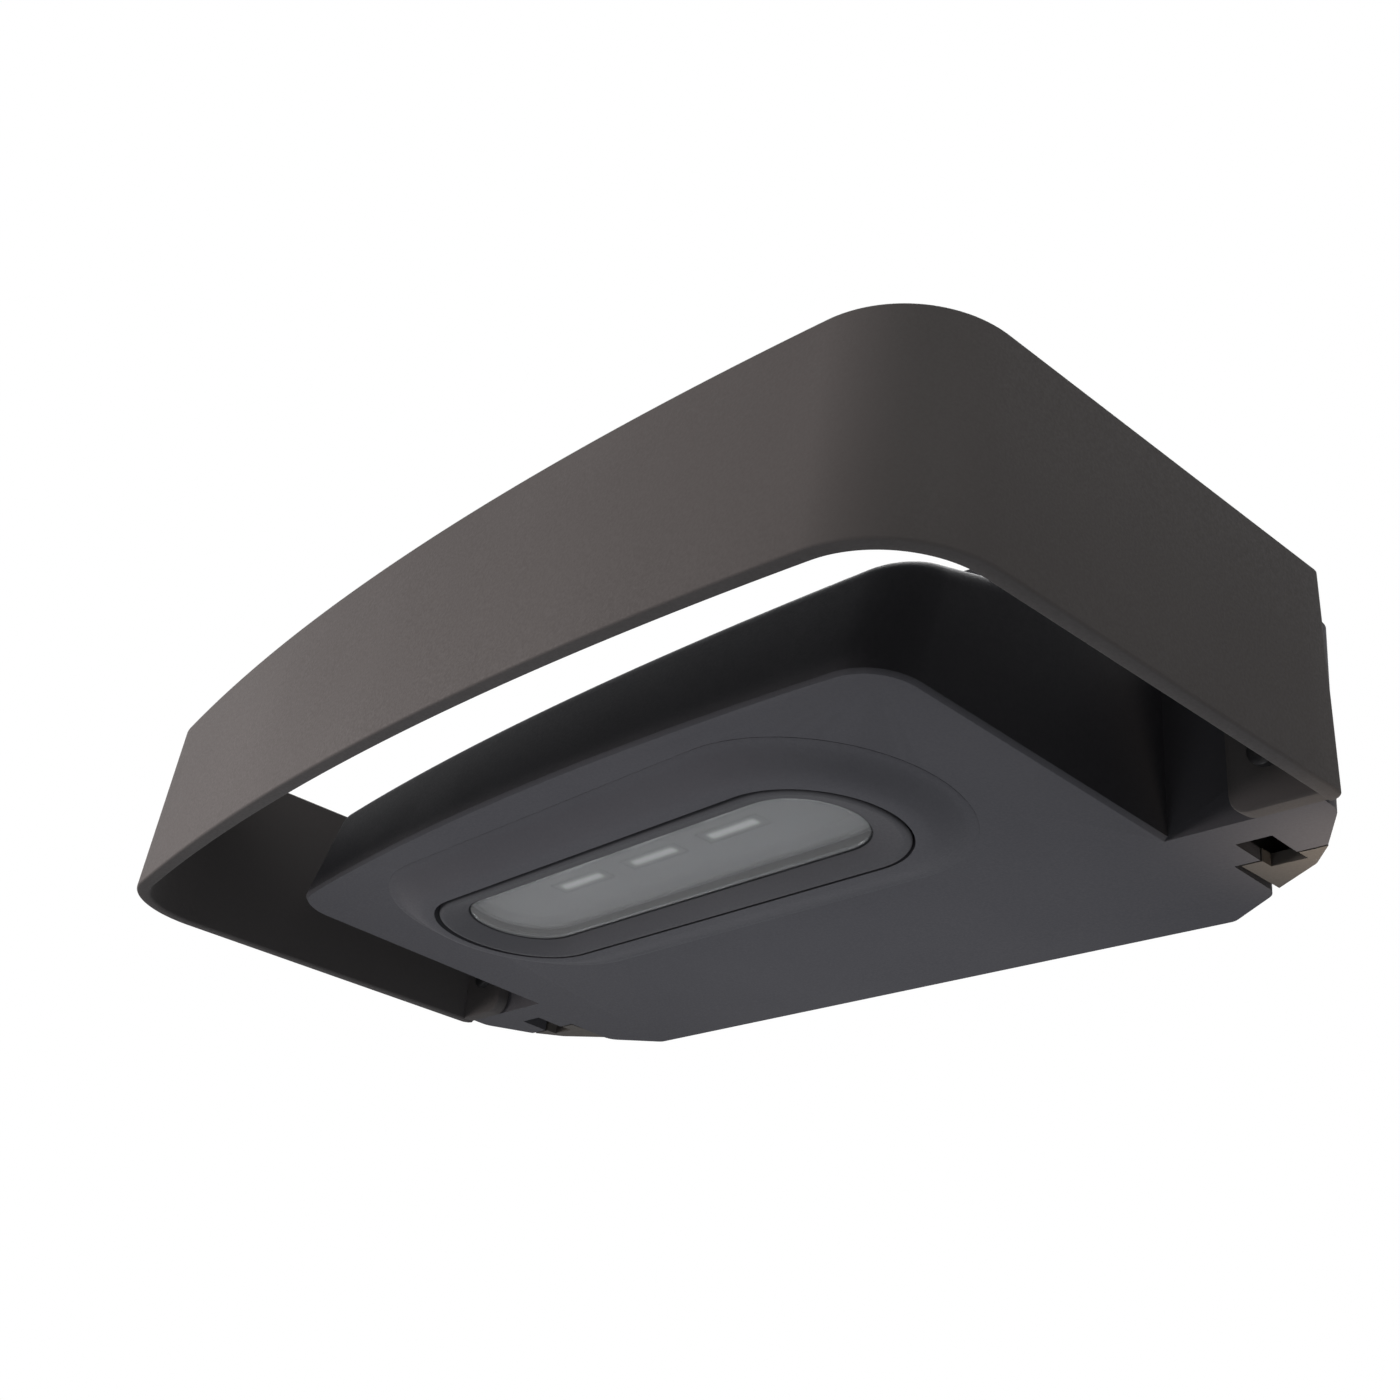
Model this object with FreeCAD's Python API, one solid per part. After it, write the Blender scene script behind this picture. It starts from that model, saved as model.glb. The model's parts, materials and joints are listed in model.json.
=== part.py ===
import FreeCAD, Part
import math
import os

# Wall pack light: a cast lamp housing with a free-standing hood band round it, hinged at
# its lower rear edge to a back box that is screwed to a wall.
# Millimetres. +X runs along the wall, +Y points into the wall, +Z is up.
# The origin is the middle of the back box's wall face.

# ---- hood band -------------------------------------------------------------------------
band_half_width = 165.0      # outside, at the lower edge
band_front_y = -191.0        # outside, on the centre line
band_bow_radius = 1131.0     # slow outward bow of the front
band_corner_radius = 26.6
band_bottom_z = -53.0
band_height = 53.0
band_wall = 4.0
band_top_inset = 0.8         # the strip leans in by this much over its height
band_rear_bottom_y = -49.0   # the free ends are cut on a slant
band_rear_top_y = -52.2
band_tab_width = 20.0        # the ends turn inwards as screw tabs
band_tab_top_drop = 9.0
band_tab_foot = 1.5          # the tabs stop this far above the strip's lower edge
band_tab_radius = 5.0
band_tab_root = 1.5          # how far a tab runs into the strip's wall
band_bend_radius = 2.5       # outside of the bend from strip to tab

# ---- lamp housing ----------------------------------------------------------------------
side_air_gap = 38.7          # from the band's inner face to the housing, at the lower edge
front_air_gap = 38.5         # the same at the front, on the centre line
body_half_width = band_half_width - band_wall - side_air_gap
body_front_y = band_front_y + band_wall + front_air_gap
body_bow_radius = 1075.0
body_corner_radius = 13.2
body_front_lean = 6.4        # the front wall leans back by this much up to its top edge
body_front_top_z = -21.2
body_floor_z = -52.42        # floor height above floor_pivot_y
floor_pivot_y = -52.25
floor_slope = 0.036          # the floor drops towards the wall
body_rear_top_z = 50.0
housing_wall = 3.2
roof_front_slope = 0.30      # the roof rises gently at first
roof_knee_y = -100.0         # and steeply behind this line
roof_bend_radius = 60.0
roof_edge_radius = 6.0
floor_edge_chamfer = 1.0

parting_y = -30.0            # where the housing's rim meets the back box
parting_gap = 0.4

wing_half_width = band_half_width - band_top_inset - band_wall
wing_shoulder_y = -44.0
wing_taper = 10.2            # the side runs in by this much behind the shoulder
wing_rear_half_width = wing_half_width - wing_taper
wing_shoulder_radius = 6.0
wing_rear_gap = 0.9          # wider than the parting, so that the wing swings clear of the ear
pod_top_z = -8.0             # top of the wings and of the box's ears
notch_width = 9.0            # finger notch across the seam between wing and ear
notch_front_y = -40.3
notch_rear_y = -26.5

apron_rear_y = -4.9
apron_overhang = 4.7         # the apron is wider than the box by this on each side
apron_half_width = body_half_width + apron_overhang
apron_corner_y = -14.5
apron_corner_cut = 17.0
apron_rear_half_width = apron_half_width - apron_corner_cut
apron_corner_radius = 5.0
apron_wall = 2.3

# ---- cooling fins on the roof ----------------------------------------------------------
fin_count = 11
fin_pitch = 15.0
fin_wall = 2.4
fin_front_y = -128.0
fin_rear_y = -34.0
fin_front_height = 0.4
fin_rear_height = 8.0
fin_rear_cut = 5.0           # slanted end of a fin
fin_root = 2.0               # how far a fin's foot runs into the roof

# ---- lens window -----------------------------------------------------------------------
lens_setback = 45.7          # from the front wall's inner face to the middle of the window
lens_y = body_front_y + housing_wall + lens_setback
pad_face_z = -55.2
pad_inner_z = -50.0
pad_half_length = 87.0
pad_half_width = 26.5
pad_shoulder = 12.0          # width of the pad's soft shoulder
pad_steps = 5                # sections of that shoulder
pad_sink = 0.98              # the last section lies just under the floor
pad_rim = 2.3                # flat rim of the pad round the window
pad_foot_half_length = pad_half_length + pad_shoulder
pad_foot_half_width = pad_half_width + pad_shoulder
window_half_length = pad_half_length - pad_rim
window_half_width = pad_half_width - pad_rim

bezel_clearance = 1.1        # dark gap between the bezel and the pad
bezel_flange = 7.3           # width of the flange behind the pad
bezel_flange_half_length = window_half_length + bezel_flange
bezel_flange_half_width = window_half_width + bezel_flange
bezel_flange_gap = 1.5       # round the flange, in its pocket
pad_pocket_half_length = bezel_flange_half_length + bezel_flange_gap
pad_pocket_half_width = bezel_flange_half_width + bezel_flange_gap
bezel_gasket_wall = 1.0
bezel_gasket_width = 6.0
bezel_flange_wall = 2.4
bezel_lip_end = 3.1          # from the window's edge to the mouth
bezel_lip_side = 2.8
mouth_slope_end = 7.6        # from the mouth's edge in to the throat
mouth_slope_side = 5.4
bezel_mouth_half_length = window_half_length - bezel_lip_end
bezel_mouth_half_width = window_half_width - bezel_lip_side
throat_half_length = bezel_mouth_half_length - mouth_slope_end
throat_half_width = bezel_mouth_half_width - mouth_slope_side
throat_z = -52.9
throat_top_z = -51.4
glass_edge = 4.0             # the glass reaches this far past the throat
glass_edge_half_length = throat_half_length + glass_edge
glass_edge_half_width = throat_half_width + glass_edge
glass_face_z = -53.0
glass_wall = 4.0
glass_clearance = 0.3
lens_seal_wall = 0.8
lens_seal_width = 2.6

retainer_screw_setback = 12.0
retainer_screw_x = throat_half_length - retainer_screw_setback
retainer_screw_inset = 5.0   # from the flange's edge
retainer_edge = 1.0          # the frame is this much smaller than the flange
retainer_screw_radius = 1.5
retainer_head_radius = 2.8
retainer_head_height = 1.8
retainer_frame_wall = 1.6

# ---- light engine ----------------------------------------------------------------------
array_count = 3
array_pitch = 31.4
array_length = 22.0
array_width = 5.0
array_height = 1.2
reflector_depth = 2.1
reflector_wall = 1.2
reflector_clearance = 0.5
reflector_rim_gap = 0.3      # between the glass and the tray's rim
reflector_flare = 4.0
reflector_floor_z = throat_top_z + lens_seal_wall + glass_wall + reflector_rim_gap + reflector_depth
board_wall = 1.6
board_half_length = throat_half_length + 2 * glass_edge
board_edge = 6.5             # the board reaches this far past the throat's side
board_half_width = throat_half_width + board_edge
pad_sheet_wall = 0.8
spreader_wall = 5.0
spreader_half_width = 38.0
post_end_gap = 3.5           # from the pocket's end to the posts' middles
spreader_end = 7.0           # from the posts' middles to the spreader's edges
spreader_side = 9.0
spreader_post_x = pad_pocket_half_length + post_end_gap
spreader_half_length = spreader_post_x + spreader_end
spreader_post_y = spreader_half_width - spreader_side
post_radius = 5.0
machine_screw_radius = 2.0
machine_head_radius = 3.6
machine_head_height = 2.4
machine_grip = 7.0
board_screw_end = 6.0
board_screw_side = 4.0
board_screw_x = board_half_length - board_screw_end
board_screw_y = board_half_width - board_screw_side
board_screw_bite = 3.2       # length of a board screw inside the spreader
spreader_corner_radius = 6.0

# ---- driver ----------------------------------------------------------------------------
driver_length = 140.0
driver_depth = 34.0
driver_height = 24.0
driver_setback = 22.5        # from the parting to the driver's middle
driver_y = parting_y - driver_setback
driver_lift = 5.6            # over the heat spreader
driver_bottom_z = (reflector_floor_z + reflector_wall + board_wall + pad_sheet_wall
                   + spreader_wall + driver_lift)
driver_edge_radius = 2.0
bracket_wall = 2.0
bracket_foot = 12.0
bracket_foot_depth = 24.0
bracket_corner_radius = 4.0
bracket_tab_width = 16.0     # upright tabs at the case's ends
bracket_tab_height = 14.0
bracket_tab_gap = 0.2
driver_leg = 13.0            # from the driver's end to the bracket's screw
driver_leg_x = 0.5 * driver_length + driver_leg

# ---- back box --------------------------------------------------------------------------
box_wall = 3.5
box_back_wall = 4.0
box_top_z = body_rear_top_z
box_half_width = body_half_width
box_low_radius = 3.0
smallest_radius = 0.5        # of an inner corner
ear_step = 0.5               # the ear is this much narrower than the wing, at the parting
ear_half_width = wing_rear_half_width - ear_step
ear_knee_inset = 7.0
ear_knee_x = ear_half_width - ear_knee_inset
notch_x = ear_knee_x - 0.5 * notch_width
ear_knee_y = -23.0
ear_root_y = -11.8           # where that slanted side meets the box
ear_bottom_z = band_bottom_z
ear_knee_radius = 5.0
ear_wall = 3.2
ear_apron_gap = 1.2
rim_groove_depth = 2.0
rim_groove_width = 2.0
rim_seal_stand = 0.1
wall_seal_width = 5.0
wall_seal_depth = 1.5
wall_seal_inset = 8.0

wire_hole_radius = 11.0
wire_hole_z = 22.0
slot_spacing = 88.9
slot_radius = 2.6
slot_length = 14.0
lag_spacing_x = 160.0
lag_spacing_z = 50.0
lag_hole_radius = 3.6
lag_boss_radius = 8.0
lag_boss_height = 3.0

plug_radius = 10.5
plug_thread_length = 9.0
plug_head_radius = 13.5
plug_head_height = 3.0
plug_y = -16.0
plug_side_z = 20.0
plug_key = 8.0
plug_key_depth = 2.0
plug_chamfer = 0.8
hub_radius = 13.5
hub_height = 7.0

# ---- hinge -----------------------------------------------------------------------------
hinge_x = 62.0
hinge_radius = 3.2
hinge_wall_gap = 3.4         # between the barrels and the wall
hinge_low_gap = 0.3634       # between the barrels and the apron
hinge_high_gap = 0.8         # between the barrels and the box
hinge_y = -hinge_radius - hinge_wall_gap
hinge_z = (body_floor_z - floor_slope * (hinge_y - floor_pivot_y) + apron_wall
           + hinge_low_gap + hinge_radius)
box_bottom_z = hinge_z + hinge_radius + hinge_high_gap
hinge_pin_radius = 1.6
hinge_running_gap = 0.05
knuckle_length = 18.0
lug_length = 8.0
hinge_side_gap = 0.4
hinge_web = 7.0              # length of the foot that ties a knuckle to the apron
hinge_web_chamfer = 2.0
hinge_pin_stand = 1.0        # how far a pin stands out of its outer lugs

# ---- door screws -----------------------------------------------------------------------
door_screw_inset = 24.3      # from the box's side
door_screw_x = box_half_width - door_screw_inset
door_screw_z = 34.0
door_screw_radius = 2.5
door_head_radius = 5.0
door_head_height = 4.5
door_head_chamfer = 0.6
door_tip_gap = 2.0           # from a screw's tip to the end of its insert
door_boss_radius = 9.0
door_boss_reach = 24.0       # a boss starts this far ahead of the rim
door_boss_floor = 4.0
door_head_room = 1.2         # round the head, in its pocket
door_screw_clearance = 0.5
insert_radius = 4.0
insert_length = 12.0
insert_boss_radius = 7.5
clip_wall = 1.0
clip_radius = 4.5
clip_clearance = 0.4
clip_mouth = 2.4
hex_flat = 4.0
hex_depth = 2.4

# ---- parts inside the back box ---------------------------------------------------------
block_length = 42.0
block_depth = 14.0
block_height = 16.0
block_x = -40.0
block_z = -18.0
block_poles = 3
block_screw_radius = 2.2
block_screw_depth = 5.0
block_screw_rise = 3.0
block_wire_radius = 1.8
surge_length = 44.0
surge_depth = 16.0
surge_height = 22.0
surge_x = 42.0
surge_z = -18.0
surge_corner_radius = 3.0
earth_x = 0.0
earth_z = -22.0
earth_screw_radius = 2.0
earth_head_radius = 4.2
earth_head_height = 2.6
earth_boss_radius = 5.5
earth_boss_height = 4.0

band_screw_inset = 10.0      # from the band's inner face to the tab screws
band_screw_clearance = 0.3
band_screw_low_z = -40.0
band_screw_high_z = -17.0

overrun = 20.0               # how far a cutting tool runs past what it cuts
bite = 1.0                   # how far a post's foot runs into the wall that carries it
screw_clearance = 0.2        # round a screw that passes through a plate


def vec(x, y, z):
    return FreeCAD.Vector(x, y, z)


def block(x0, x1, y0, y1, z0, z1):
    return Part.makeBox(x1 - x0, y1 - y0, z1 - z0, vec(x0, y0, z0))


def rod(radius, length, start, axis):
    return Part.makeCylinder(radius, length, start, axis)


def write(name, solids):
    shape = solids[0] if len(solids) == 1 else Part.makeCompound(solids)
    shape.exportStep(os.path.join("parts", name + ".step"))


def bowed_edges(half_width, front_y, bow_radius, corner_radius, rear_y, z):
    """Open U in plan: straight sides, round corners and a front bowed towards -Y."""
    centre_y = front_y + bow_radius
    corner_x = half_width - corner_radius
    inner = bow_radius - corner_radius
    corner_y = centre_y - math.sqrt(inner ** 2 - corner_x ** 2)
    reach = bow_radius / inner
    tangent_x = corner_x * reach
    tangent_y = centre_y + (corner_y - centre_y) * reach
    turn = 0.5 * math.atan2(corner_x, centre_y - corner_y) + 0.25 * math.pi
    middle_x = corner_x + corner_radius * math.sin(turn)
    middle_y = corner_y - corner_radius * math.cos(turn)

    def right(x, y):
        return vec(x, y, z)

    def left(x, y):
        return vec(-x, y, z)

    side = Part.LineSegment(right(half_width, rear_y), right(half_width, corner_y))
    corner = Part.Arc(right(half_width, corner_y), right(middle_x, middle_y), right(tangent_x, tangent_y))
    front = Part.Arc(right(tangent_x, tangent_y), vec(0, front_y, z), left(tangent_x, tangent_y))
    corner_2 = Part.Arc(left(tangent_x, tangent_y), left(middle_x, middle_y), left(half_width, corner_y))
    side_2 = Part.LineSegment(left(half_width, corner_y), left(half_width, rear_y))
    return [e.toShape() for e in (side, corner, front, corner_2, side_2)]


def bowed_plan(half_width, front_y, bow_radius, corner_radius, rear_y, z):
    edges = bowed_edges(half_width, front_y, bow_radius, corner_radius, rear_y, z)
    rear = Part.LineSegment(vec(-half_width, rear_y, z), vec(half_width, rear_y, z))
    return Part.Wire(edges + [rear.toShape()])


def racetrack(half_length, half_width, z):
    """A long round-ended outline along X, centred on the lens."""
    straight = half_length - half_width
    y0 = lens_y - half_width
    y1 = lens_y + half_width
    low = Part.LineSegment(vec(-straight, y0, z), vec(straight, y0, z))
    right = Part.Arc(vec(straight, y0, z), vec(half_length, lens_y, z), vec(straight, y1, z))
    high = Part.LineSegment(vec(straight, y1, z), vec(-straight, y1, z))
    left = Part.Arc(vec(-straight, y1, z), vec(-half_length, lens_y, z), vec(-straight, y0, z))
    return Part.Wire([e.toShape() for e in (low, right, high, left)])


def race_disc(half_length, half_width, z0, z1):
    return Part.Face(racetrack(half_length, half_width, z0)).extrude(vec(0, 0, z1 - z0))


def race_cone(length_0, width_0, z0, length_1, width_1, z1):
    wires = [racetrack(length_0, width_0, z0), racetrack(length_1, width_1, z1)]
    return Part.makeLoft(wires, True, True)


def yz_prism(points, x0, x1):
    wire = Part.makePolygon([vec(x0, y, z) for y, z in points] + [vec(x0, *points[0])])
    return Part.Face(wire).extrude(vec(x1 - x0, 0, 0))


def xy_prism(points, z0, z1):
    wire = Part.makePolygon([vec(x, y, z0) for x, y in points] + [vec(*points[0], z0)])
    return Part.Face(wire).extrude(vec(0, 0, z1 - z0))


def both_sides(solid):
    return [solid, solid.mirror(vec(0, 0, 0), vec(1, 0, 0))]


def floor_at(y, lift=0.0):
    """Height of the housing's sloping underside."""
    return body_floor_z - floor_slope * (y - floor_pivot_y) + lift


# Side view of the roof: a gentle line, an arc and a steep line, each tangent to the next.
roof_front_y = body_front_y + body_front_lean
roof_knee_z = body_front_top_z + roof_front_slope * (roof_knee_y - roof_front_y)
roof_rear_slope = (body_rear_top_z - roof_knee_z) / (parting_y - roof_knee_y)
front_pitch = math.atan(roof_front_slope)
rear_pitch = math.atan(roof_rear_slope)
bend_reach = roof_bend_radius * math.tan(0.5 * (rear_pitch - front_pitch))
bend_front_y = roof_knee_y - bend_reach * math.cos(front_pitch)
bend_rear_y = roof_knee_y + bend_reach * math.cos(rear_pitch)
bend_centre_y = bend_front_y - roof_bend_radius * math.sin(front_pitch)
bend_centre_z = roof_knee_z - bend_reach * math.sin(front_pitch) + roof_bend_radius * math.cos(front_pitch)


def roof_at(y):
    """Height of the roof's outer face."""
    if y < bend_front_y:
        return body_front_top_z + roof_front_slope * (y - roof_front_y)
    if y > bend_rear_y:
        return body_rear_top_z + roof_rear_slope * (y - parting_y)
    return bend_centre_z - math.sqrt(roof_bend_radius ** 2 - (y - bend_centre_y) ** 2)


def side_section(y0, y1, lift, drop, x0, x1):
    """The housing's side view from floor to roof, with the floor lifted and the roof dropped."""
    def roof(y):
        return vec(x0, y, roof_at(y) - drop)

    low_front = vec(x0, y0, floor_at(y0, lift))
    low_rear = vec(x0, y1, floor_at(y1, lift))
    middle_y = bend_centre_y + roof_bend_radius * math.sin(0.5 * (front_pitch + rear_pitch))
    edges = [Part.LineSegment(low_front, low_rear), Part.LineSegment(low_rear, roof(y1)),
             Part.LineSegment(roof(y1), roof(bend_rear_y)),
             Part.Arc(roof(bend_rear_y), roof(middle_y), roof(bend_front_y)),
             Part.LineSegment(roof(bend_front_y), roof(y0)), Part.LineSegment(roof(y0), low_front)]
    return Part.Face(Part.Wire([e.toShape() for e in edges])).extrude(vec(x1 - x0, 0, 0))


def edges_where(shape, test):
    return [e for e in shape.Edges if test(e)]


def upright_edges(shape, x, y):
    """The edges along Z that stand over one point of the plan."""
    return edges_where(shape, lambda e: abs(e.CenterOfMass.x - x) < 0.01 and abs(e.CenterOfMass.y - y) < 0.01)


def rim_edges(shape, rear_y, height_at):
    """The edges that lie in a sloping plane, without the straight one at the rear."""
    def in_plane(e):
        ends = e.Vertexes
        return all(abs(v.Z - height_at(v.Y)) < 0.02 for v in ends) and any(v.Y < rear_y - 0.1 for v in ends)

    return edges_where(shape, in_plane)


def above_floor(lift):
    """Everything over the sloping underside, drawn in by lift."""
    y0 = body_front_y - overrun
    reach = band_half_width + overrun
    points = [(y0, floor_at(y0, lift)), (0, floor_at(0, lift)), (0, body_rear_top_z), (y0, body_rear_top_z)]
    return yz_prism(points, -reach, reach)


def leaning(shape):
    """An upright shape turned about the band's lower rear edge, parallel to the band's slanted ends."""
    turned = shape.copy()
    angle = math.atan2(band_rear_bottom_y - band_rear_top_y, band_height)
    turned.rotate(vec(0, band_rear_bottom_y, band_bottom_z), vec(1, 0, 0), math.degrees(angle))
    return turned


# ---- hood band -------------------------------------------------------------------------

def band_skin(inset, rear_y):
    """Solid inside the band's outer face, drawn in by inset, leaning in towards the top."""
    wires = []
    for z, lean in ((band_bottom_z, 0.0), (band_bottom_z + band_height, band_top_inset)):
        step = inset + lean
        wires.append(bowed_plan(band_half_width - step, band_front_y + step, band_bow_radius - step,
                                band_corner_radius - step, rear_y, z))
    return Part.makeLoft(wires, True, True)


def band_tab():
    """Right-hand screw tab, upright, with round inner corners."""
    root = band_half_width - band_top_inset - band_wall
    inner_x = root - band_tab_width
    front = band_rear_bottom_y - band_wall
    tab = block(inner_x, root + band_tab_root, front, band_rear_bottom_y,
                band_bottom_z + band_tab_foot, band_bottom_z + band_height - band_tab_top_drop)
    corners = edges_where(tab, lambda e: abs(e.CenterOfMass.x - inner_x) < 0.01
                          and abs(e.CenterOfMass.y - 0.5 * (front + band_rear_bottom_y)) < 0.01)
    return tab.makeFillet(band_tab_radius, corners)


def hood_band():
    past = band_rear_bottom_y + overrun
    side = band_half_width + overrun
    strip = band_skin(0.0, past).cut(band_skin(band_wall, past + overrun))
    behind = block(-side, side, band_rear_bottom_y, past + overrun, band_bottom_z - overrun, 2 * overrun)
    strip = strip.cut(leaning(behind))
    bend_x = band_half_width - 0.5 * band_top_inset
    bend_y = 0.5 * (band_rear_bottom_y + band_rear_top_y)
    bends = upright_edges(strip, bend_x, bend_y) + upright_edges(strip, -bend_x, bend_y)
    strip = strip.makeFillet(band_bend_radius, bends)
    for piece in both_sides(leaning(band_tab())):
        strip = strip.fuse(piece)
    for x, z in band_screw_places():
        hole = rod(machine_screw_radius + band_screw_clearance, 2 * overrun,
                   vec(x, band_rear_bottom_y - overrun, z), vec(0, 1, 0))
        strip = strip.cut(leaning(hole))
    return strip.removeSplitter()


def band_screw_places():
    x = band_half_width - band_top_inset - band_wall - band_screw_inset
    return [(s * x, z) for s in (-1, 1) for z in (band_screw_low_z, band_screw_high_z)]


def pan_screw(radius, head_radius, head_height, grip, place, axis):
    """Flat-topped screw: head at place, shank running along axis."""
    head = rod(head_radius, head_height, place - axis * head_height, axis)
    return head.fuse(rod(radius, grip, place, axis)).removeSplitter()


def band_screws():
    y = band_rear_bottom_y - band_wall
    return [leaning(pan_screw(machine_screw_radius, machine_head_radius, machine_head_height,
                              band_wall + machine_grip, vec(x, y, z), vec(0, 1, 0)))
            for x, z in band_screw_places()]


# ---- lamp housing ----------------------------------------------------------------------

def wedge(inset, rear_y):
    """The housing's middle: bowed front that leans back, sloping roof, sloping floor."""
    low = body_floor_z - overrun
    height = body_rear_top_z - low + overrun
    lean_rate = body_front_lean / (body_front_top_z - floor_at(body_front_y))
    start_y = body_front_y + inset + lean_rate * (low - floor_at(body_front_y))
    plan = Part.Face(bowed_plan(body_half_width - inset, start_y, body_bow_radius - inset,
                                body_corner_radius - inset, rear_y + overrun, low))
    solid = plan.extrude(vec(0, lean_rate * height, height))
    lift = inset * math.sqrt(1.0 + floor_slope ** 2)
    drop = inset * math.sqrt(1.0 + roof_rear_slope ** 2)
    reach = body_half_width + overrun
    return solid.common(side_section(body_front_y - overrun, rear_y, lift, drop, -reach, reach))


def outer_wedge():
    """The wedge with a round roof rim and a small chamfer at the floor."""
    rear = parting_y - parting_gap
    solid = wedge(0.0, rear)
    solid = solid.makeFillet(roof_edge_radius, rim_edges(solid, rear, roof_at))
    return solid.makeChamfer(floor_edge_chamfer, rim_edges(solid, rear, floor_at))


def fin(x):
    """Straight-topped fin over the hollow curve of the roof."""
    top_y = fin_rear_y - fin_rear_cut
    stations = [(fin_front_y, fin_front_height), (top_y, fin_rear_height)]
    stations += [(fin_rear_y, 0.5 * fin_rear_height)]
    stations += [(y, -fin_root) for y in (fin_rear_y, bend_rear_y, roof_knee_y, bend_front_y, fin_front_y)]
    points = [(y, roof_at(y) + height) for y, height in stations]
    return yz_prism(points, x - 0.5 * fin_wall, x + 0.5 * fin_wall)


def fins():
    start = -0.5 * fin_pitch * (fin_count - 1)
    return [fin(start + fin_pitch * i) for i in range(fin_count)]


def wing_prism(inset):
    """Right-hand wing drawn in by inset: straight side, slanted shoulder, front parallel to the tab."""
    root = body_half_width - housing_wall + inset
    ahead = band_rear_bottom_y - overrun
    rear = parting_y - wing_rear_gap
    side = wing_half_width - inset
    open_end = bite if inset > 0.0 else 0.0
    plan = [(root, ahead), (side, ahead), (side, wing_shoulder_y),
            (wing_rear_half_width - inset, rear + open_end), (root, rear + open_end)]
    solid = xy_prism(plan, body_floor_z - overrun, pod_top_z - inset)
    solid = solid.makeFillet(wing_shoulder_radius, upright_edges(solid, side, wing_shoulder_y))
    front = block(0.0, side + overrun, ahead - overrun, band_rear_bottom_y + inset,
                  body_floor_z - 2 * overrun, overrun)
    return solid.cut(leaning(front)).common(above_floor(inset))


def wing():
    """Wing that carries the band's end, open at the back, with one half of the finger notch."""
    solid = wing_prism(0.0).cut(wing_prism(housing_wall))
    for x, z in band_screw_places():
        if x > 0:
            boss = rod(post_radius, machine_grip + bite, vec(x, band_rear_bottom_y + bite, z), vec(0, 1, 0))
            solid = solid.fuse(leaning(boss))
    return solid.cut(finger_notch())


def finger_notch():
    return block(notch_x - 0.5 * notch_width, notch_x + 0.5 * notch_width, notch_front_y, notch_rear_y,
                 ear_bottom_z - overrun, ear_bottom_z + ear_wall + bite)


def apron():
    """The underside carried on under the back box, with cut-off rear corners."""
    front = parting_y - 3 * housing_wall
    outline = [(-apron_half_width, front), (apron_half_width, front), (apron_half_width, apron_corner_y),
               (apron_rear_half_width, apron_rear_y), (-apron_rear_half_width, apron_rear_y),
               (-apron_half_width, apron_corner_y)]
    slab = xy_prism(outline, body_floor_z - overrun, body_floor_z + overrun)
    corners = upright_edges(slab, apron_half_width, apron_corner_y)
    corners += upright_edges(slab, -apron_half_width, apron_corner_y)
    corners += upright_edges(slab, apron_rear_half_width, apron_rear_y)
    corners += upright_edges(slab, -apron_rear_half_width, apron_rear_y)
    slab = slab.makeFillet(apron_corner_radius, corners)
    return slab.common(above_floor(0.0).cut(above_floor(apron_wall)))


def rim_sill():
    """Low wall across the housing's open rear that the bottom run of the rim seal presses on."""
    rear = parting_y - parting_gap
    side = body_half_width - 0.5 * housing_wall
    return block(-side, side, rear - housing_wall, rear,
                 floor_at(rear, 0.5 * apron_wall), box_bottom_z + box_wall)


def hinge_places():
    return (-hinge_x, hinge_x)


def hinge_bore(x):
    return rod(hinge_pin_radius + hinge_running_gap, 3 * knuckle_length,
               vec(x - 1.5 * knuckle_length, hinge_y, hinge_z), vec(1, 0, 0))


def knuckle(x):
    """Hinge barrel on the apron with the web that joins it to the apron's floor."""
    half = 0.5 * knuckle_length
    barrel = rod(hinge_radius, knuckle_length, vec(x - half, hinge_y, hinge_z), vec(1, 0, 0))
    foot = block(x - half, x + half, hinge_y - hinge_web, hinge_y, floor_at(hinge_y, bite), hinge_z)
    foot_end = edges_where(foot, lambda e: abs(e.CenterOfMass.y - (hinge_y - hinge_web)) < 0.01
                           and abs(e.CenterOfMass.z - hinge_z) < 0.01)
    return barrel.fuse(foot.makeChamfer(hinge_web_chamfer, foot_end))


def lens_pad():
    """Raised pad whose soft shoulder runs from the flat face out into the sloping floor."""
    foot_z = floor_at(lens_y)
    slope = math.degrees(math.atan(floor_slope))
    wires = []
    for i in range(pad_steps):
        t = i / (pad_steps - 1)
        rise = pad_sink * t * t * (3.0 - 2.0 * t)
        z = pad_face_z + rise * (foot_z - pad_face_z)
        wire = racetrack(pad_half_length + t * (pad_foot_half_length - pad_half_length),
                         pad_half_width + t * (pad_foot_half_width - pad_half_width), z)
        wire.rotate(vec(0, lens_y, z), vec(1, 0, 0), -rise * slope)
        wires.append(wire)
    top = wires[-1].copy()
    top.translate(vec(0, 0, 1.5 * bite))
    return Part.makeLoft(wires, True, False).fuse(Part.makeLoft([wires[-1], top], True, True))


def door_boss(x):
    top = parting_y - parting_gap
    return rod(door_boss_radius, door_boss_reach, vec(x, top - door_boss_reach, door_screw_z), vec(0, 1, 0))


def door_pocket(x):
    """Open pocket in the roof that lets a driver reach the captive screw."""
    floor_y = parting_y - parting_gap - door_boss_floor
    return rod(door_head_radius + door_head_room, 2 * overrun, vec(x, floor_y - 2 * overrun, door_screw_z),
               vec(0, 1, 0))


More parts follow.
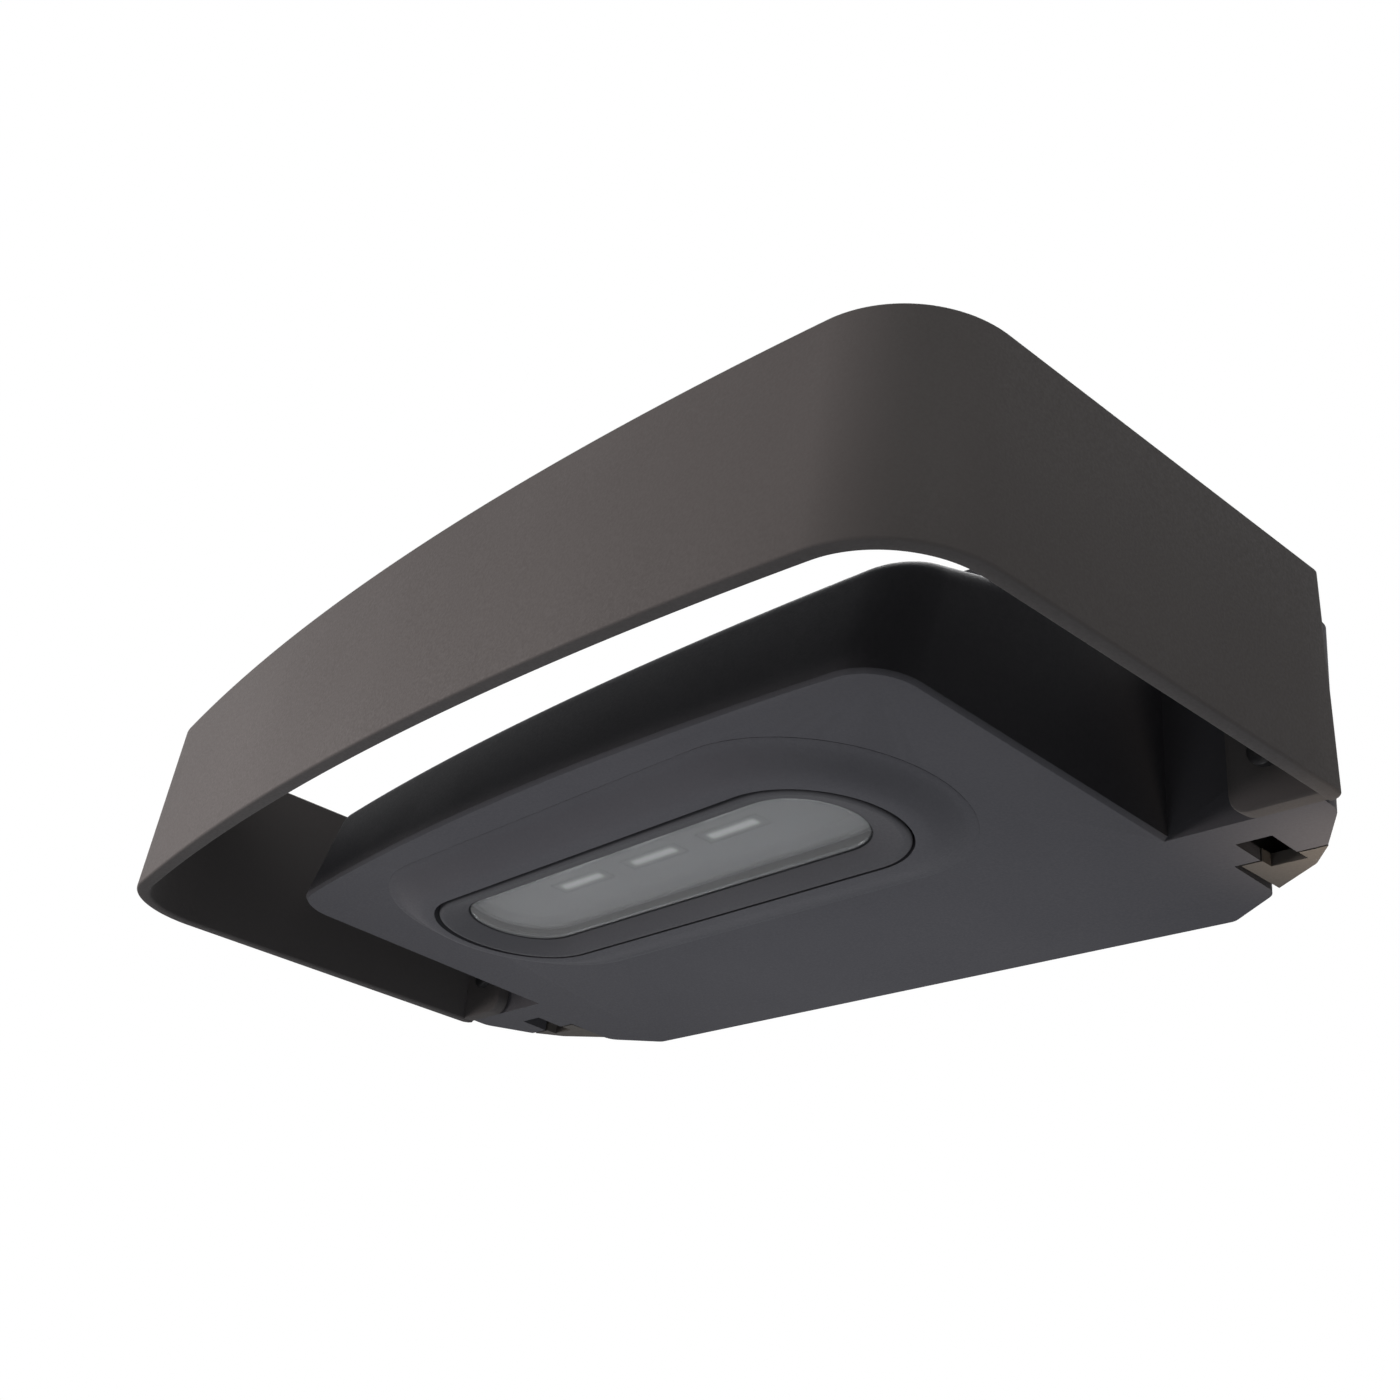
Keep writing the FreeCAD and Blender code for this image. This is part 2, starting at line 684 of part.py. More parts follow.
def lamp_housing():
    shell = outer_wedge()
    for piece in fins() + both_sides(wing()) + [apron(), lens_pad()]:
        shell = shell.fuse(piece)
    bosses = [door_boss(x).common(shell) for x in (-door_screw_x, door_screw_x)]
    lens_room = race_disc(pad_pocket_half_length, pad_pocket_half_width,
                          pad_inner_z, floor_at(lens_y, overrun))
    shell = shell.cut(wedge(housing_wall, parting_y + overrun)).cut(lens_room)
    for piece in inner_posts() + bosses + [rim_sill()]:
        shell = shell.fuse(piece)
    for x in hinge_places():
        shell = shell.fuse(knuckle(x))
    return cut_lamp_housing(shell).removeSplitter()


def inner_posts():
    """Posts on the floor for the heat spreader and the driver's bracket."""
    tops = [(x, y, spreader_z()) for x, y in spreader_places()]
    tops += [(s * driver_leg_x, driver_y, driver_bottom_z - bracket_wall) for s in (-1, 1)]
    return [rod(post_radius, z - floor_at(y, bite), vec(x, y, floor_at(y, bite)), vec(0, 0, 1))
            for x, y, z in tops]


def cut_lamp_housing(shell):
    """Window, screw holes and hinge bores."""
    shell = shell.cut(race_disc(window_half_length, window_half_width,
                                pad_face_z - overrun, pad_inner_z + bite))
    for x in hinge_places():
        shell = shell.cut(hinge_bore(x))
    for x in (-door_screw_x, door_screw_x):
        shell = shell.cut(door_pocket(x))
        shell = shell.cut(rod(door_screw_radius + door_screw_clearance, 3 * overrun,
                              vec(x, parting_y - 2 * overrun, door_screw_z), vec(0, 1, 0)))
        shell = shell.cut(rod(clip_radius + clip_clearance, overrun,
                              vec(x, parting_y - parting_gap - clip_wall, door_screw_z), vec(0, 1, 0)))
    for x, z in band_screw_places():
        hole = rod(machine_screw_radius, machine_grip, vec(x, band_rear_bottom_y, z), vec(0, 1, 0))
        shell = shell.cut(leaning(hole))
    for x, y in spreader_places():
        shell = shell.cut(rod(machine_screw_radius, machine_grip, vec(x, y, spreader_z()), vec(0, 0, -1)))
    for s in (-1, 1):
        shell = shell.cut(rod(machine_screw_radius, machine_grip,
                              vec(s * driver_leg_x, driver_y, driver_bottom_z - bracket_wall), vec(0, 0, -1)))
    return shell


def drilled(plate, places, radius, z):
    """A level plate at height z with clearance holes for upright screws of this radius."""
    for x, y in places:
        hole = rod(radius + screw_clearance, overrun, vec(x, y, z - 0.5 * overrun), vec(0, 0, 1))
        plate = plate.cut(hole)
    return plate


# ---- lens ------------------------------------------------------------------------------

bezel_gasket_top_z = pad_inner_z + bezel_gasket_wall
bezel_top_z = bezel_gasket_top_z + bezel_flange_wall
retainer_z = max(bezel_top_z, throat_top_z + lens_seal_wall + glass_wall)


def lens_bezel():
    flange = race_disc(bezel_flange_half_length, bezel_flange_half_width, bezel_gasket_top_z, bezel_top_z)
    barrel = race_disc(window_half_length - bezel_clearance, window_half_width - bezel_clearance,
                       pad_face_z, bezel_gasket_top_z)
    ring = flange.fuse(barrel)
    mouth = race_cone(bezel_mouth_half_length, bezel_mouth_half_width, pad_face_z,
                      throat_half_length, throat_half_width, throat_z)
    throat = race_disc(throat_half_length, throat_half_width, throat_z, throat_top_z)
    seat = race_disc(glass_edge_half_length, glass_edge_half_width, throat_top_z, bezel_top_z + bite)
    ring = ring.cut(mouth).cut(throat).cut(seat)
    for x, y in retainer_places():
        ring = ring.cut(rod(retainer_screw_radius, overrun, vec(x, y, pad_inner_z), vec(0, 0, 1)))
    return ring.removeSplitter()


def bezel_gasket():
    outer = race_disc(bezel_flange_half_length, bezel_flange_half_width, pad_inner_z, bezel_gasket_top_z)
    return outer.cut(race_disc(bezel_flange_half_length - bezel_gasket_width,
                               bezel_flange_half_width - bezel_gasket_width,
                               pad_inner_z - bite, bezel_gasket_top_z + bite))


def lens_seal():
    edge_length = glass_edge_half_length - glass_clearance
    edge_width = glass_edge_half_width - glass_clearance
    outer = race_disc(edge_length, edge_width, throat_top_z, throat_top_z + lens_seal_wall)
    return outer.cut(race_disc(edge_length - lens_seal_width, edge_width - lens_seal_width,
                               throat_top_z - bite, throat_top_z + lens_seal_wall + bite))


def lens_glass():
    """Plate with a stepped face that fills the bezel's throat."""
    z0 = throat_top_z + lens_seal_wall
    plate = race_disc(glass_edge_half_length - glass_clearance, glass_edge_half_width - glass_clearance,
                      z0, z0 + glass_wall)
    face = race_disc(throat_half_length - glass_clearance, throat_half_width - glass_clearance,
                     glass_face_z, z0)
    return plate.fuse(face).removeSplitter()


def retainer_places():
    y = bezel_flange_half_width - retainer_screw_inset
    return [(sx * retainer_screw_x, lens_y + sy * y) for sx in (-1, 1) for sy in (-1, 1)]


def lens_retainer():
    """Thin frame over the glass edge, screwed to the bezel flange."""
    z0 = retainer_z
    outer = race_disc(bezel_flange_half_length - retainer_edge, bezel_flange_half_width - retainer_edge,
                      z0, z0 + retainer_frame_wall)
    ring = outer.cut(race_disc(throat_half_length, throat_half_width,
                               z0 - bite, z0 + retainer_frame_wall + bite))
    return drilled(ring, retainer_places(), retainer_screw_radius, z0)


def retainer_screws():
    z0 = retainer_z + retainer_frame_wall
    return [pan_screw(retainer_screw_radius, retainer_head_radius, retainer_head_height,
                      z0 - bezel_gasket_top_z, vec(x, y, z0), vec(0, 0, -1)) for x, y in retainer_places()]


# ---- light engine ----------------------------------------------------------------------

def array_places():
    return [array_pitch * (i - 0.5 * (array_count - 1)) for i in range(array_count)]


def board_z():
    return reflector_floor_z + reflector_wall


def spreader_z():
    return board_z() + board_wall + pad_sheet_wall


def reflector():
    """Shallow white tray with a window for each light array and a flared rim."""
    half_length = throat_half_length - reflector_clearance
    half_width = throat_half_width - reflector_clearance
    rim_z = throat_top_z + lens_seal_wall + glass_wall + reflector_rim_gap
    floor_length = half_length - reflector_flare
    floor_width = half_width - reflector_flare
    outer = race_cone(half_length, half_width, rim_z, floor_length + reflector_wall,
                      floor_width + reflector_wall, board_z())
    inner = race_cone(half_length - reflector_wall, half_width - reflector_wall, rim_z,
                      floor_length, floor_width, reflector_floor_z)
    tray = outer.cut(inner)
    for x in array_places():
        tray = tray.cut(array_block(x, reflector_clearance, reflector_floor_z - bite, board_z() + bite))
    return tray


def array_block(x, margin, z0, z1):
    """One light array's footprint, with a margin all round, between two heights."""
    half_length = 0.5 * array_length + margin
    half_width = 0.5 * array_width + margin
    return block(x - half_length, x + half_length, lens_y - half_width, lens_y + half_width, z0, z1)


def led_board():
    board = race_disc(board_half_length, board_half_width, board_z(), board_z() + board_wall)
    return drilled(board, board_screw_places(), retainer_screw_radius, board_z())


def led_arrays():
    return [array_block(x, 0.0, board_z() - array_height, board_z()) for x in array_places()]


def board_screw_places():
    return [(board_screw_x, lens_y), (-board_screw_x, lens_y),
            (0.0, lens_y - board_screw_y), (0.0, lens_y + board_screw_y)]


def board_screws():
    grip = board_wall + pad_sheet_wall + board_screw_bite
    return [pan_screw(retainer_screw_radius, retainer_head_radius, retainer_head_height,
                      grip, vec(x, y, board_z()), vec(0, 0, 1)) for x, y in board_screw_places()]


def thermal_sheet():
    z0 = board_z() + board_wall
    sheet = race_disc(board_half_length, board_half_width, z0, z0 + pad_sheet_wall)
    return drilled(sheet, board_screw_places(), retainer_screw_radius, z0)


def spreader_places():
    return [(sx * spreader_post_x, lens_y + sy * spreader_post_y) for sx in (-1, 1) for sy in (-1, 1)]


def heat_spreader():
    z0 = spreader_z()
    plate = block(-spreader_half_length, spreader_half_length, lens_y - spreader_half_width,
                  lens_y + spreader_half_width, z0, z0 + spreader_wall)
    upright = edges_where(plate, lambda e: abs(e.CenterOfMass.z - (z0 + 0.5 * spreader_wall)) < 0.01)
    plate = plate.makeFillet(spreader_corner_radius, upright)
    plate = drilled(plate, spreader_places(), machine_screw_radius, z0)
    for x, y in board_screw_places():
        plate = plate.cut(rod(retainer_screw_radius, board_screw_bite, vec(x, y, z0), vec(0, 0, 1)))
    return plate


def spreader_screws():
    z0 = spreader_z() + spreader_wall
    return [pan_screw(machine_screw_radius, machine_head_radius, machine_head_height,
                      spreader_wall + machine_grip - bite, vec(x, y, z0), vec(0, 0, -1))
            for x, y in spreader_places()]


# ---- driver ----------------------------------------------------------------------------

def driver_case():
    case = block(-0.5 * driver_length, 0.5 * driver_length, driver_y - 0.5 * driver_depth,
                 driver_y + 0.5 * driver_depth, driver_bottom_z, driver_bottom_z + driver_height)
    middle_z = driver_bottom_z + 0.5 * driver_height
    upright = edges_where(case, lambda e: abs(e.CenterOfMass.z - middle_z) < 0.01)
    return case.makeFillet(driver_edge_radius, upright)


def driver_bracket():
    """Strap under the driver with two ears on the housing's posts."""
    half = driver_leg_x + 0.5 * bracket_foot
    z1 = driver_bottom_z
    strap = block(-half, half, driver_y - 0.5 * bracket_foot_depth, driver_y + 0.5 * bracket_foot_depth,
                  z1 - bracket_wall, z1)
    ends = edges_where(strap, lambda e: abs(e.CenterOfMass.z - (z1 - 0.5 * bracket_wall)) < 0.01)
    strap = strap.makeFillet(bracket_corner_radius, ends)
    inner = 0.5 * driver_length + bracket_tab_gap
    reach = 0.5 * bracket_tab_width
    tab = block(inner, inner + bracket_wall, driver_y - reach, driver_y + reach,
                z1 - 0.5 * bracket_wall, z1 + bracket_tab_height)
    for piece in both_sides(tab):
        strap = strap.fuse(piece)
    places = [(s * driver_leg_x, driver_y) for s in (-1, 1)]
    return drilled(strap, places, machine_screw_radius, z1).removeSplitter()


def driver_screws():
    return [pan_screw(machine_screw_radius, machine_head_radius, machine_head_height,
                      bracket_wall + machine_grip - bite, vec(s * driver_leg_x, driver_y, driver_bottom_z),
                      vec(0, 0, -1)) for s in (-1, 1)]


# ---- door screws -----------------------------------------------------------------------

def door_screws():
    """Captive socket-head screws; each head stands on the floor of its pocket."""
    floor_y = parting_y - parting_gap - door_boss_floor
    top_y = floor_y - door_head_height
    solids = []
    for x in (-door_screw_x, door_screw_x):
        head = rod(door_head_radius, door_head_height, vec(x, top_y, door_screw_z), vec(0, 1, 0))
        rim = edges_where(head, lambda e: e.Closed and abs(e.CenterOfMass.y - top_y) < 0.01)
        head = head.makeChamfer(door_head_chamfer, rim)
        grip = door_boss_floor + parting_gap + insert_length - door_tip_gap
        shank = rod(door_screw_radius, grip, vec(x, floor_y, door_screw_z), vec(0, 1, 0))
        key = Part.Face(hexagon(hex_flat, x, top_y, door_screw_z)).extrude(vec(0, hex_depth, 0))
        solids.append(head.fuse(shank).cut(key).removeSplitter())
    return solids


def hexagon(flat, x, y, z):
    radius = flat / math.sqrt(3.0)
    angles = [math.pi / 3 * i for i in range(7)]
    return Part.makePolygon([vec(x + radius * math.cos(a), y, z + radius * math.sin(a)) for a in angles])


def screw_clips():
    """Snap rings that keep the door screws in the housing when it is open."""
    y = parting_y - parting_gap - clip_wall
    solids = []
    for x in (-door_screw_x, door_screw_x):
        ring = rod(clip_radius, clip_wall, vec(x, y, door_screw_z), vec(0, 1, 0))
        ring = ring.cut(rod(door_screw_radius, overrun, vec(x, y - bite, door_screw_z), vec(0, 1, 0)))
        mouth = block(x - 0.5 * clip_mouth, x + 0.5 * clip_mouth, y - bite, y + clip_wall + bite,
                      door_screw_z - overrun, door_screw_z)
        solids.append(ring.cut(mouth))
    return solids


# ---- back box --------------------------------------------------------------------------

def ear_prism(inset, root_x):
    """Right-hand ear drawn in by inset, run out past the parting."""
    ahead = parting_y - 2 * ear_wall
    slant = (ear_root_y - ear_knee_y) / (ear_knee_x - box_half_width)
    plan = [(root_x, ahead), (ear_half_width, ahead), (ear_half_width, parting_y), (ear_knee_x, ear_knee_y),
            (root_x, ear_knee_y + slant * (ear_knee_x - root_x))]
    wire = Part.makePolygon([vec(x, y, ear_bottom_z + inset) for x, y in plan + plan[:1]])
    face = Part.Face(wire)
    if inset > 0.0:
        face = face.makeOffset2D(-inset)
    return face.extrude(vec(0, 0, pod_top_z - ear_bottom_z - 2 * inset))


def ear():
    """Low ear beside the box, hollow from the front, with the other half of the finger notch."""
    solid = ear_prism(0.0, box_half_width - 0.5 * box_wall)
    solid = solid.makeFillet(ear_knee_radius, upright_edges(solid, ear_knee_x, ear_knee_y))
    beside_apron = apron_half_width + ear_apron_gap
    solid = solid.cut(ear_prism(ear_wall, beside_apron))
    solid = solid.cut(block(0.0, beside_apron, parting_y - overrun, 0.0, ear_bottom_z - bite, box_bottom_z))
    solid = solid.cut(block(0.0, 2 * ear_half_width, parting_y - overrun, parting_y,
                            ear_bottom_z - bite, 0.0))
    return solid.cut(finger_notch())


def hinge_lugs(x):
    """Two lugs under the box, one each side of the housing's knuckle."""
    solids = []
    inner = 0.5 * knuckle_length + hinge_side_gap
    for s in (-1, 1):
        x0 = min(x + s * inner, x + s * (inner + lug_length))
        solids.append(rod(hinge_radius, lug_length, vec(x0, hinge_y, hinge_z), vec(1, 0, 0)))
        solids.append(block(x0, x0 + lug_length, hinge_y - hinge_radius, hinge_y + hinge_radius,
                            hinge_z, box_bottom_z + bite))
    return solids


def box_core(inset, y0, y1):
    """Box from y0 to y1 drawn in by inset, with large top and small bottom corners along Y."""
    side = box_half_width - inset
    core = block(-side, side, y0, y1, box_bottom_z + inset, box_top_z - inset)
    for z, radius in ((box_top_z - inset, roof_edge_radius), (box_bottom_z + inset, box_low_radius)):
        along = edges_where(core, lambda e: abs(e.CenterOfMass.z - z) < 0.01
                            and abs(abs(e.CenterOfMass.x) - side) < 0.01)
        core = core.makeFillet(max(radius - inset, smallest_radius), along)
    return core


def rim_ring(inset, width, y0, y1):
    return box_core(inset, y0, y1).cut(box_core(inset + width, y0 - bite, y1 + bite))


def slot_hole(x):
    half = 0.5 * slot_length - slot_radius
    cut = block(x - half, x + half, -overrun, overrun, -slot_radius, slot_radius)
    for s in (-1, 1):
        cut = cut.fuse(rod(slot_radius, 2 * overrun, vec(x + s * half, -overrun, 0), vec(0, 1, 0)))
    return cut


def lag_places():
    return [(sx * 0.5 * lag_spacing_x, sz * 0.5 * lag_spacing_z) for sx in (-1, 1) for sz in (-1, 1)]


def hub_places():
    """Start point and outward axis of each threaded conduit entry."""
    return [(vec(0, plug_y, box_top_z), vec(0, 0, 1)),
            (vec(box_half_width, plug_y, plug_side_z), vec(1, 0, 0)),
            (vec(-box_half_width, plug_y, plug_side_z), vec(-1, 0, 0))]


def back_box():
    solid = box_core(0.0, parting_y, 0.0)
    for piece in both_sides(ear()):
        solid = solid.fuse(piece)
    solid = solid.cut(box_core(box_wall, parting_y - overrun, -box_back_wall))
    for start, axis in hub_places():
        solid = solid.fuse(rod(hub_radius, hub_height, start - axis * (box_wall + hub_height), axis))
    for x, z in lag_places():
        solid = solid.fuse(rod(lag_boss_radius, lag_boss_height, vec(x, -box_back_wall, z), vec(0, -1, 0)))
    for x in (-door_screw_x, door_screw_x):
        solid = solid.fuse(rod(insert_boss_radius, -parting_y - bite, vec(x, parting_y, door_screw_z),
                               vec(0, 1, 0)))
    solid = solid.fuse(rod(earth_boss_radius, earth_boss_height + bite,
                           vec(earth_x, bite - box_back_wall, earth_z), vec(0, -1, 0)))
    for x in hinge_places():
        for piece in hinge_lugs(x):
            solid = solid.fuse(piece)
    return cut_back_box(solid).removeSplitter()


def cut_back_box(solid):
    for start, axis in hub_places():
        solid = solid.cut(rod(plug_radius, 2 * overrun, start + axis * overrun, axis * -1))
    for x, z in lag_places():
        solid = solid.cut(rod(lag_hole_radius, 2 * overrun, vec(x, -overrun, z), vec(0, 1, 0)))
    for s in (-1, 1):
        solid = solid.cut(slot_hole(s * 0.5 * slot_spacing))
    solid = solid.cut(rod(wire_hole_radius, 2 * overrun, vec(0, -overrun, wire_hole_z), vec(0, 1, 0)))
    for x in (-door_screw_x, door_screw_x):
        solid = solid.cut(rod(insert_radius, insert_length, vec(x, parting_y, door_screw_z), vec(0, 1, 0)))
    for x in hinge_places():
        solid = solid.cut(hinge_bore(x))
    solid = solid.cut(rod(earth_screw_radius, earth_boss_height + 2 * bite,
                          vec(earth_x, -box_back_wall - earth_boss_height, earth_z), vec(0, 1, 0)))
    solid = solid.cut(rim_ring(0.5 * (box_wall - rim_groove_width), rim_groove_width, parting_y,
                               parting_y + rim_groove_depth))
    return solid.cut(wall_seal())


def rim_seal():
    return rim_ring(0.5 * (box_wall - rim_groove_width), rim_groove_width, parting_y - rim_seal_stand,
                    parting_y + rim_groove_depth)


def wall_seal():
    return rim_ring(wall_seal_inset, wall_seal_width, -wall_seal_depth, 0.0)


def box_inserts():
    solids = []
    for x in (-door_screw_x, door_screw_x):
        sleeve = rod(insert_radius, insert_length, vec(x, parting_y, door_screw_z), vec(0, 1, 0))
        solids.append(sleeve.cut(rod(door_screw_radius + door_screw_clearance, 2 * overrun,
                                     vec(x, parting_y - bite, door_screw_z), vec(0, 1, 0))))
    return solids


def conduit_plugs():
    solids = []
    for start, axis in hub_places():
        plug = rod(plug_radius, plug_thread_length, start, axis * -1)
        head = rod(plug_head_radius, plug_head_height, start, axis)
        end = start + axis * plug_head_height
        rim = edges_where(head, lambda e: (e.CenterOfMass - end).Length < 0.01)
        head = head.makeChamfer(plug_chamfer, rim)
        half = 0.5 * plug_key
        key = Part.makeBox(plug_key, plug_key, plug_key, vec(-half, -half, 0))
        key.Placement = FreeCAD.Placement(end - axis * plug_key_depth, FreeCAD.Rotation(vec(0, 0, 1), axis))
        solids.append(plug.fuse(head).cut(key).removeSplitter())
    return solids


def hinge_pins():
    length = knuckle_length + 2 * (lug_length + hinge_side_gap + hinge_pin_stand)
    return [rod(hinge_pin_radius, length, vec(x - 0.5 * length, hinge_y, hinge_z), vec(1, 0, 0))
            for x in hinge_places()]


def terminal_block():
    y1 = -box_back_wall
    body = block(block_x - 0.5 * block_length, block_x + 0.5 * block_length, y1 - block_depth, y1,
                 block_z - 0.5 * block_height, block_z + 0.5 * block_height)
    pitch = block_length / block_poles
    for i in range(block_poles):
        x = block_x + pitch * (i - 0.5 * (block_poles - 1))
        body = body.cut(rod(block_screw_radius, block_screw_depth,
                            vec(x, y1 - block_depth, block_z + block_screw_rise), vec(0, 1, 0)))
        body = body.cut(rod(block_wire_radius, block_height,
                            vec(x, y1 - 0.6 * block_depth, block_z - block_height), vec(0, 0, 1)))
    return body


def surge_protector():
    y1 = -box_back_wall
    body = block(surge_x - 0.5 * surge_length, surge_x + 0.5 * surge_length, y1 - surge_depth, y1,
                 surge_z - 0.5 * surge_height, surge_z + 0.5 * surge_height)
    upright = edges_where(body, lambda e: abs(e.CenterOfMass.y - (y1 - 0.5 * surge_depth)) < 0.01)
    return body.makeFillet(surge_corner_radius, upright)


def earth_screw():
    y = -box_back_wall - earth_boss_height
    return pan_screw(earth_screw_radius, earth_head_radius, earth_head_height, earth_boss_height,
                     vec(earth_x, y, earth_z), vec(0, 1, 0))


def main():
    os.makedirs("parts", exist_ok=True)
    write("hood_band", [hood_band()])
    write("band_screws", band_screws())
    write("lamp_housing", [lamp_housing()])
    write("lens_bezel", [lens_bezel()])
    write("bezel_gasket", [bezel_gasket()])
    write("lens_seal", [lens_seal()])
    write("lens_glass", [lens_glass()])
    write("lens_retainer", [lens_retainer()])
    write("retainer_screws", retainer_screws())
    write("reflector", [reflector()])
    write("led_board", [led_board()])
    write("led_arrays", led_arrays())
    write("board_screws", board_screws())
    write("thermal_sheet", [thermal_sheet()])
    write("heat_spreader", [heat_spreader()])
    write("spreader_screws", spreader_screws())
    write("driver_case", [driver_case()])
    write("driver_bracket", [driver_bracket()])
    write("driver_screws", driver_screws())
    write("door_screws", door_screws())
    write("screw_clips", screw_clips())
    write("back_box", [back_box()])
    write("rim_seal", [rim_seal()])
    write("wall_seal", [wall_seal()])
    write("box_inserts", box_inserts())
    write("conduit_plugs", conduit_plugs())
    write("hinge_pins", hinge_pins())
    write("terminal_block", [terminal_block()])
    write("surge_protector", [surge_protector()])
    write("earth_screw", [earth_screw()])


main()
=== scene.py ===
"""Looks of an outdoor wall light: a cast lamp housing inside a free-standing hood band.

Metres, in the part's own frame: +X along the wall, +Y into the wall, +Z up, and the origin
in the middle of the back box's wall face.
"""

import json
import logging
import math
from dataclasses import dataclass
from enum import Enum

import bmesh
import bpy
import numpy as np
from mathutils import Matrix, Vector

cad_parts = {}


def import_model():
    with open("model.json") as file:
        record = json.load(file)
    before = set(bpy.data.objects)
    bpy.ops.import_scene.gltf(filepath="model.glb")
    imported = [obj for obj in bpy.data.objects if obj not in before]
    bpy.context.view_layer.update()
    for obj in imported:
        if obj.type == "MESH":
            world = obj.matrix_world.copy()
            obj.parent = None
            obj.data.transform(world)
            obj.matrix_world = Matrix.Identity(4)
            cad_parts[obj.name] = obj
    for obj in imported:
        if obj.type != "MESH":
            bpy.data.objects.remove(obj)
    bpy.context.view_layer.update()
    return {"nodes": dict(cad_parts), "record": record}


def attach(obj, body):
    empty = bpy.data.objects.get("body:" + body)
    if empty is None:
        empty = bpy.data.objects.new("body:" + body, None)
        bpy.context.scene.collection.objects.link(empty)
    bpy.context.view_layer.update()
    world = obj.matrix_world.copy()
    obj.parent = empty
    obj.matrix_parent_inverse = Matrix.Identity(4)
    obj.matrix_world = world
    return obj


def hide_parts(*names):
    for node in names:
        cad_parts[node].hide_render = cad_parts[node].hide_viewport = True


MM = 0.001
LOG = logging.getLogger("wall_light")
WELD = 2e-6              # metres within which a CAD mesh's loose corners are one
FLAT_TURN = 0.4          # degrees under which neighbouring CAD triangles are one face
BEVEL_STEPS = 2
WHITE = (1.0, 1.0, 1.0)
Colour = tuple[float, float, float]      # linear red, green, blue
Point = tuple[float, float, float]       # metres


class Body(Enum):
    """The two rigid bodies of the light."""

    BOX = "wall_box"
    DOOR = "lamp_door"


# ---- shader helpers --------------------------------------------------------------------


class Shader:
    """A material's node tree with a Principled surface and short calls to add nodes."""

    def __init__(self, name: str) -> None:
        """Start an empty tree.

        Args:
            name: the material's name.
        """
        self.material = bpy.data.materials.new(name)
        self.material.use_nodes = True
        self.tree = self.material.node_tree
        self.tree.nodes.clear()
        self.surface = self.add("ShaderNodeBsdfPrincipled")
        self.output = self.add("ShaderNodeOutputMaterial")
        self.link(self.surface.outputs["BSDF"], self.output.inputs["Surface"])
        self.place = self.add("ShaderNodeTexCoord").outputs["Object"]

    def add(self, kind: str, **values: object) -> bpy.types.Node:
        """Add a node.

        Args:
            kind: the node's class name.
            **values: attributes to set on it.

        Returns:
            The new node.
        """
        node = self.tree.nodes.new(kind)
        for name, value in values.items():
            setattr(node, name, value)
        return node

    def link(self, source: bpy.types.NodeSocket, target: bpy.types.NodeSocket) -> None:
        """Join an output to an input."""
        self.tree.links.new(source, target)

    def noise(self, scale: float, detail: float = 3.0, rough: float = 0.5) -> bpy.types.NodeSocket:
        """Cloudy noise on object coordinates.

        Args:
            scale: cells per metre.
            detail: octaves.
            rough: how strong the fine octaves are.

        Returns:
            The noise's value socket.
        """
        node = self.add("ShaderNodeTexNoise")
        node.inputs["Scale"].default_value = scale
        node.inputs["Detail"].default_value = detail
        node.inputs["Roughness"].default_value = rough
        self.link(self.place, node.inputs["Vector"])
        return node.outputs["Fac"]

    def span(self, value: bpy.types.NodeSocket, low: float, high: float,
             source: tuple[float, float] = (0.3, 0.7)) -> bpy.types.NodeSocket:
        """Carry a value linearly from the source range to low..high.

        Args:
            value: the value to carry over.
            low: what the range's start becomes.
            high: what the range's end becomes.
            source: the range that the value comes in.

        Returns:
            The mapped value's socket.
        """
        node = self.add("ShaderNodeMapRange")
        node.inputs["From Min"].default_value = source[0]
        node.inputs["From Max"].default_value = source[1]
        node.inputs["To Min"].default_value = low
        node.inputs["To Max"].default_value = high
        self.link(value, node.inputs["Value"])
        return node.outputs["Result"]

    def tint(self, value: bpy.types.NodeSocket, first: Colour,
             second: Colour) -> bpy.types.NodeSocket:
        """Blend two colours by a value.

        Args:
            value: 0 for the first colour, 1 for the second.
            first: linear red, green, blue.
            second: linear red, green, blue.

        Returns:
            The blended colour's socket.
        """
        node = self.add("ShaderNodeMix", data_type="RGBA")
        colour_in = [s for s in node.inputs if s.type == "RGBA"]
        colour_in[0].default_value = (*first, 1.0)
        colour_in[1].default_value = (*second, 1.0)
        self.link(value, node.inputs["Factor"])
        return [s for s in node.outputs if s.type == "RGBA"][0]

    def bump(self, height: bpy.types.NodeSocket, strength: float, distance: float) -> None:
        """Raise the surface by a height field.

        Args:
            height: the height, from 0 to 1.
            strength: share of the full effect.
            distance: metres that a height of 1 stands for.
        """
        node = self.add("ShaderNodeBump")
        node.inputs["Strength"].default_value = strength
        node.inputs["Distance"].default_value = distance
        self.link(height, node.inputs["Height"])
        self.link(node.outputs["Normal"], self.surface.inputs["Normal"])

    def set(self, socket: str, value: object) -> None:
        """Set one of the surface's own sockets."""
        self.surface.inputs[socket].default_value = value


# ---- finishes --------------------------------------------------------------------------


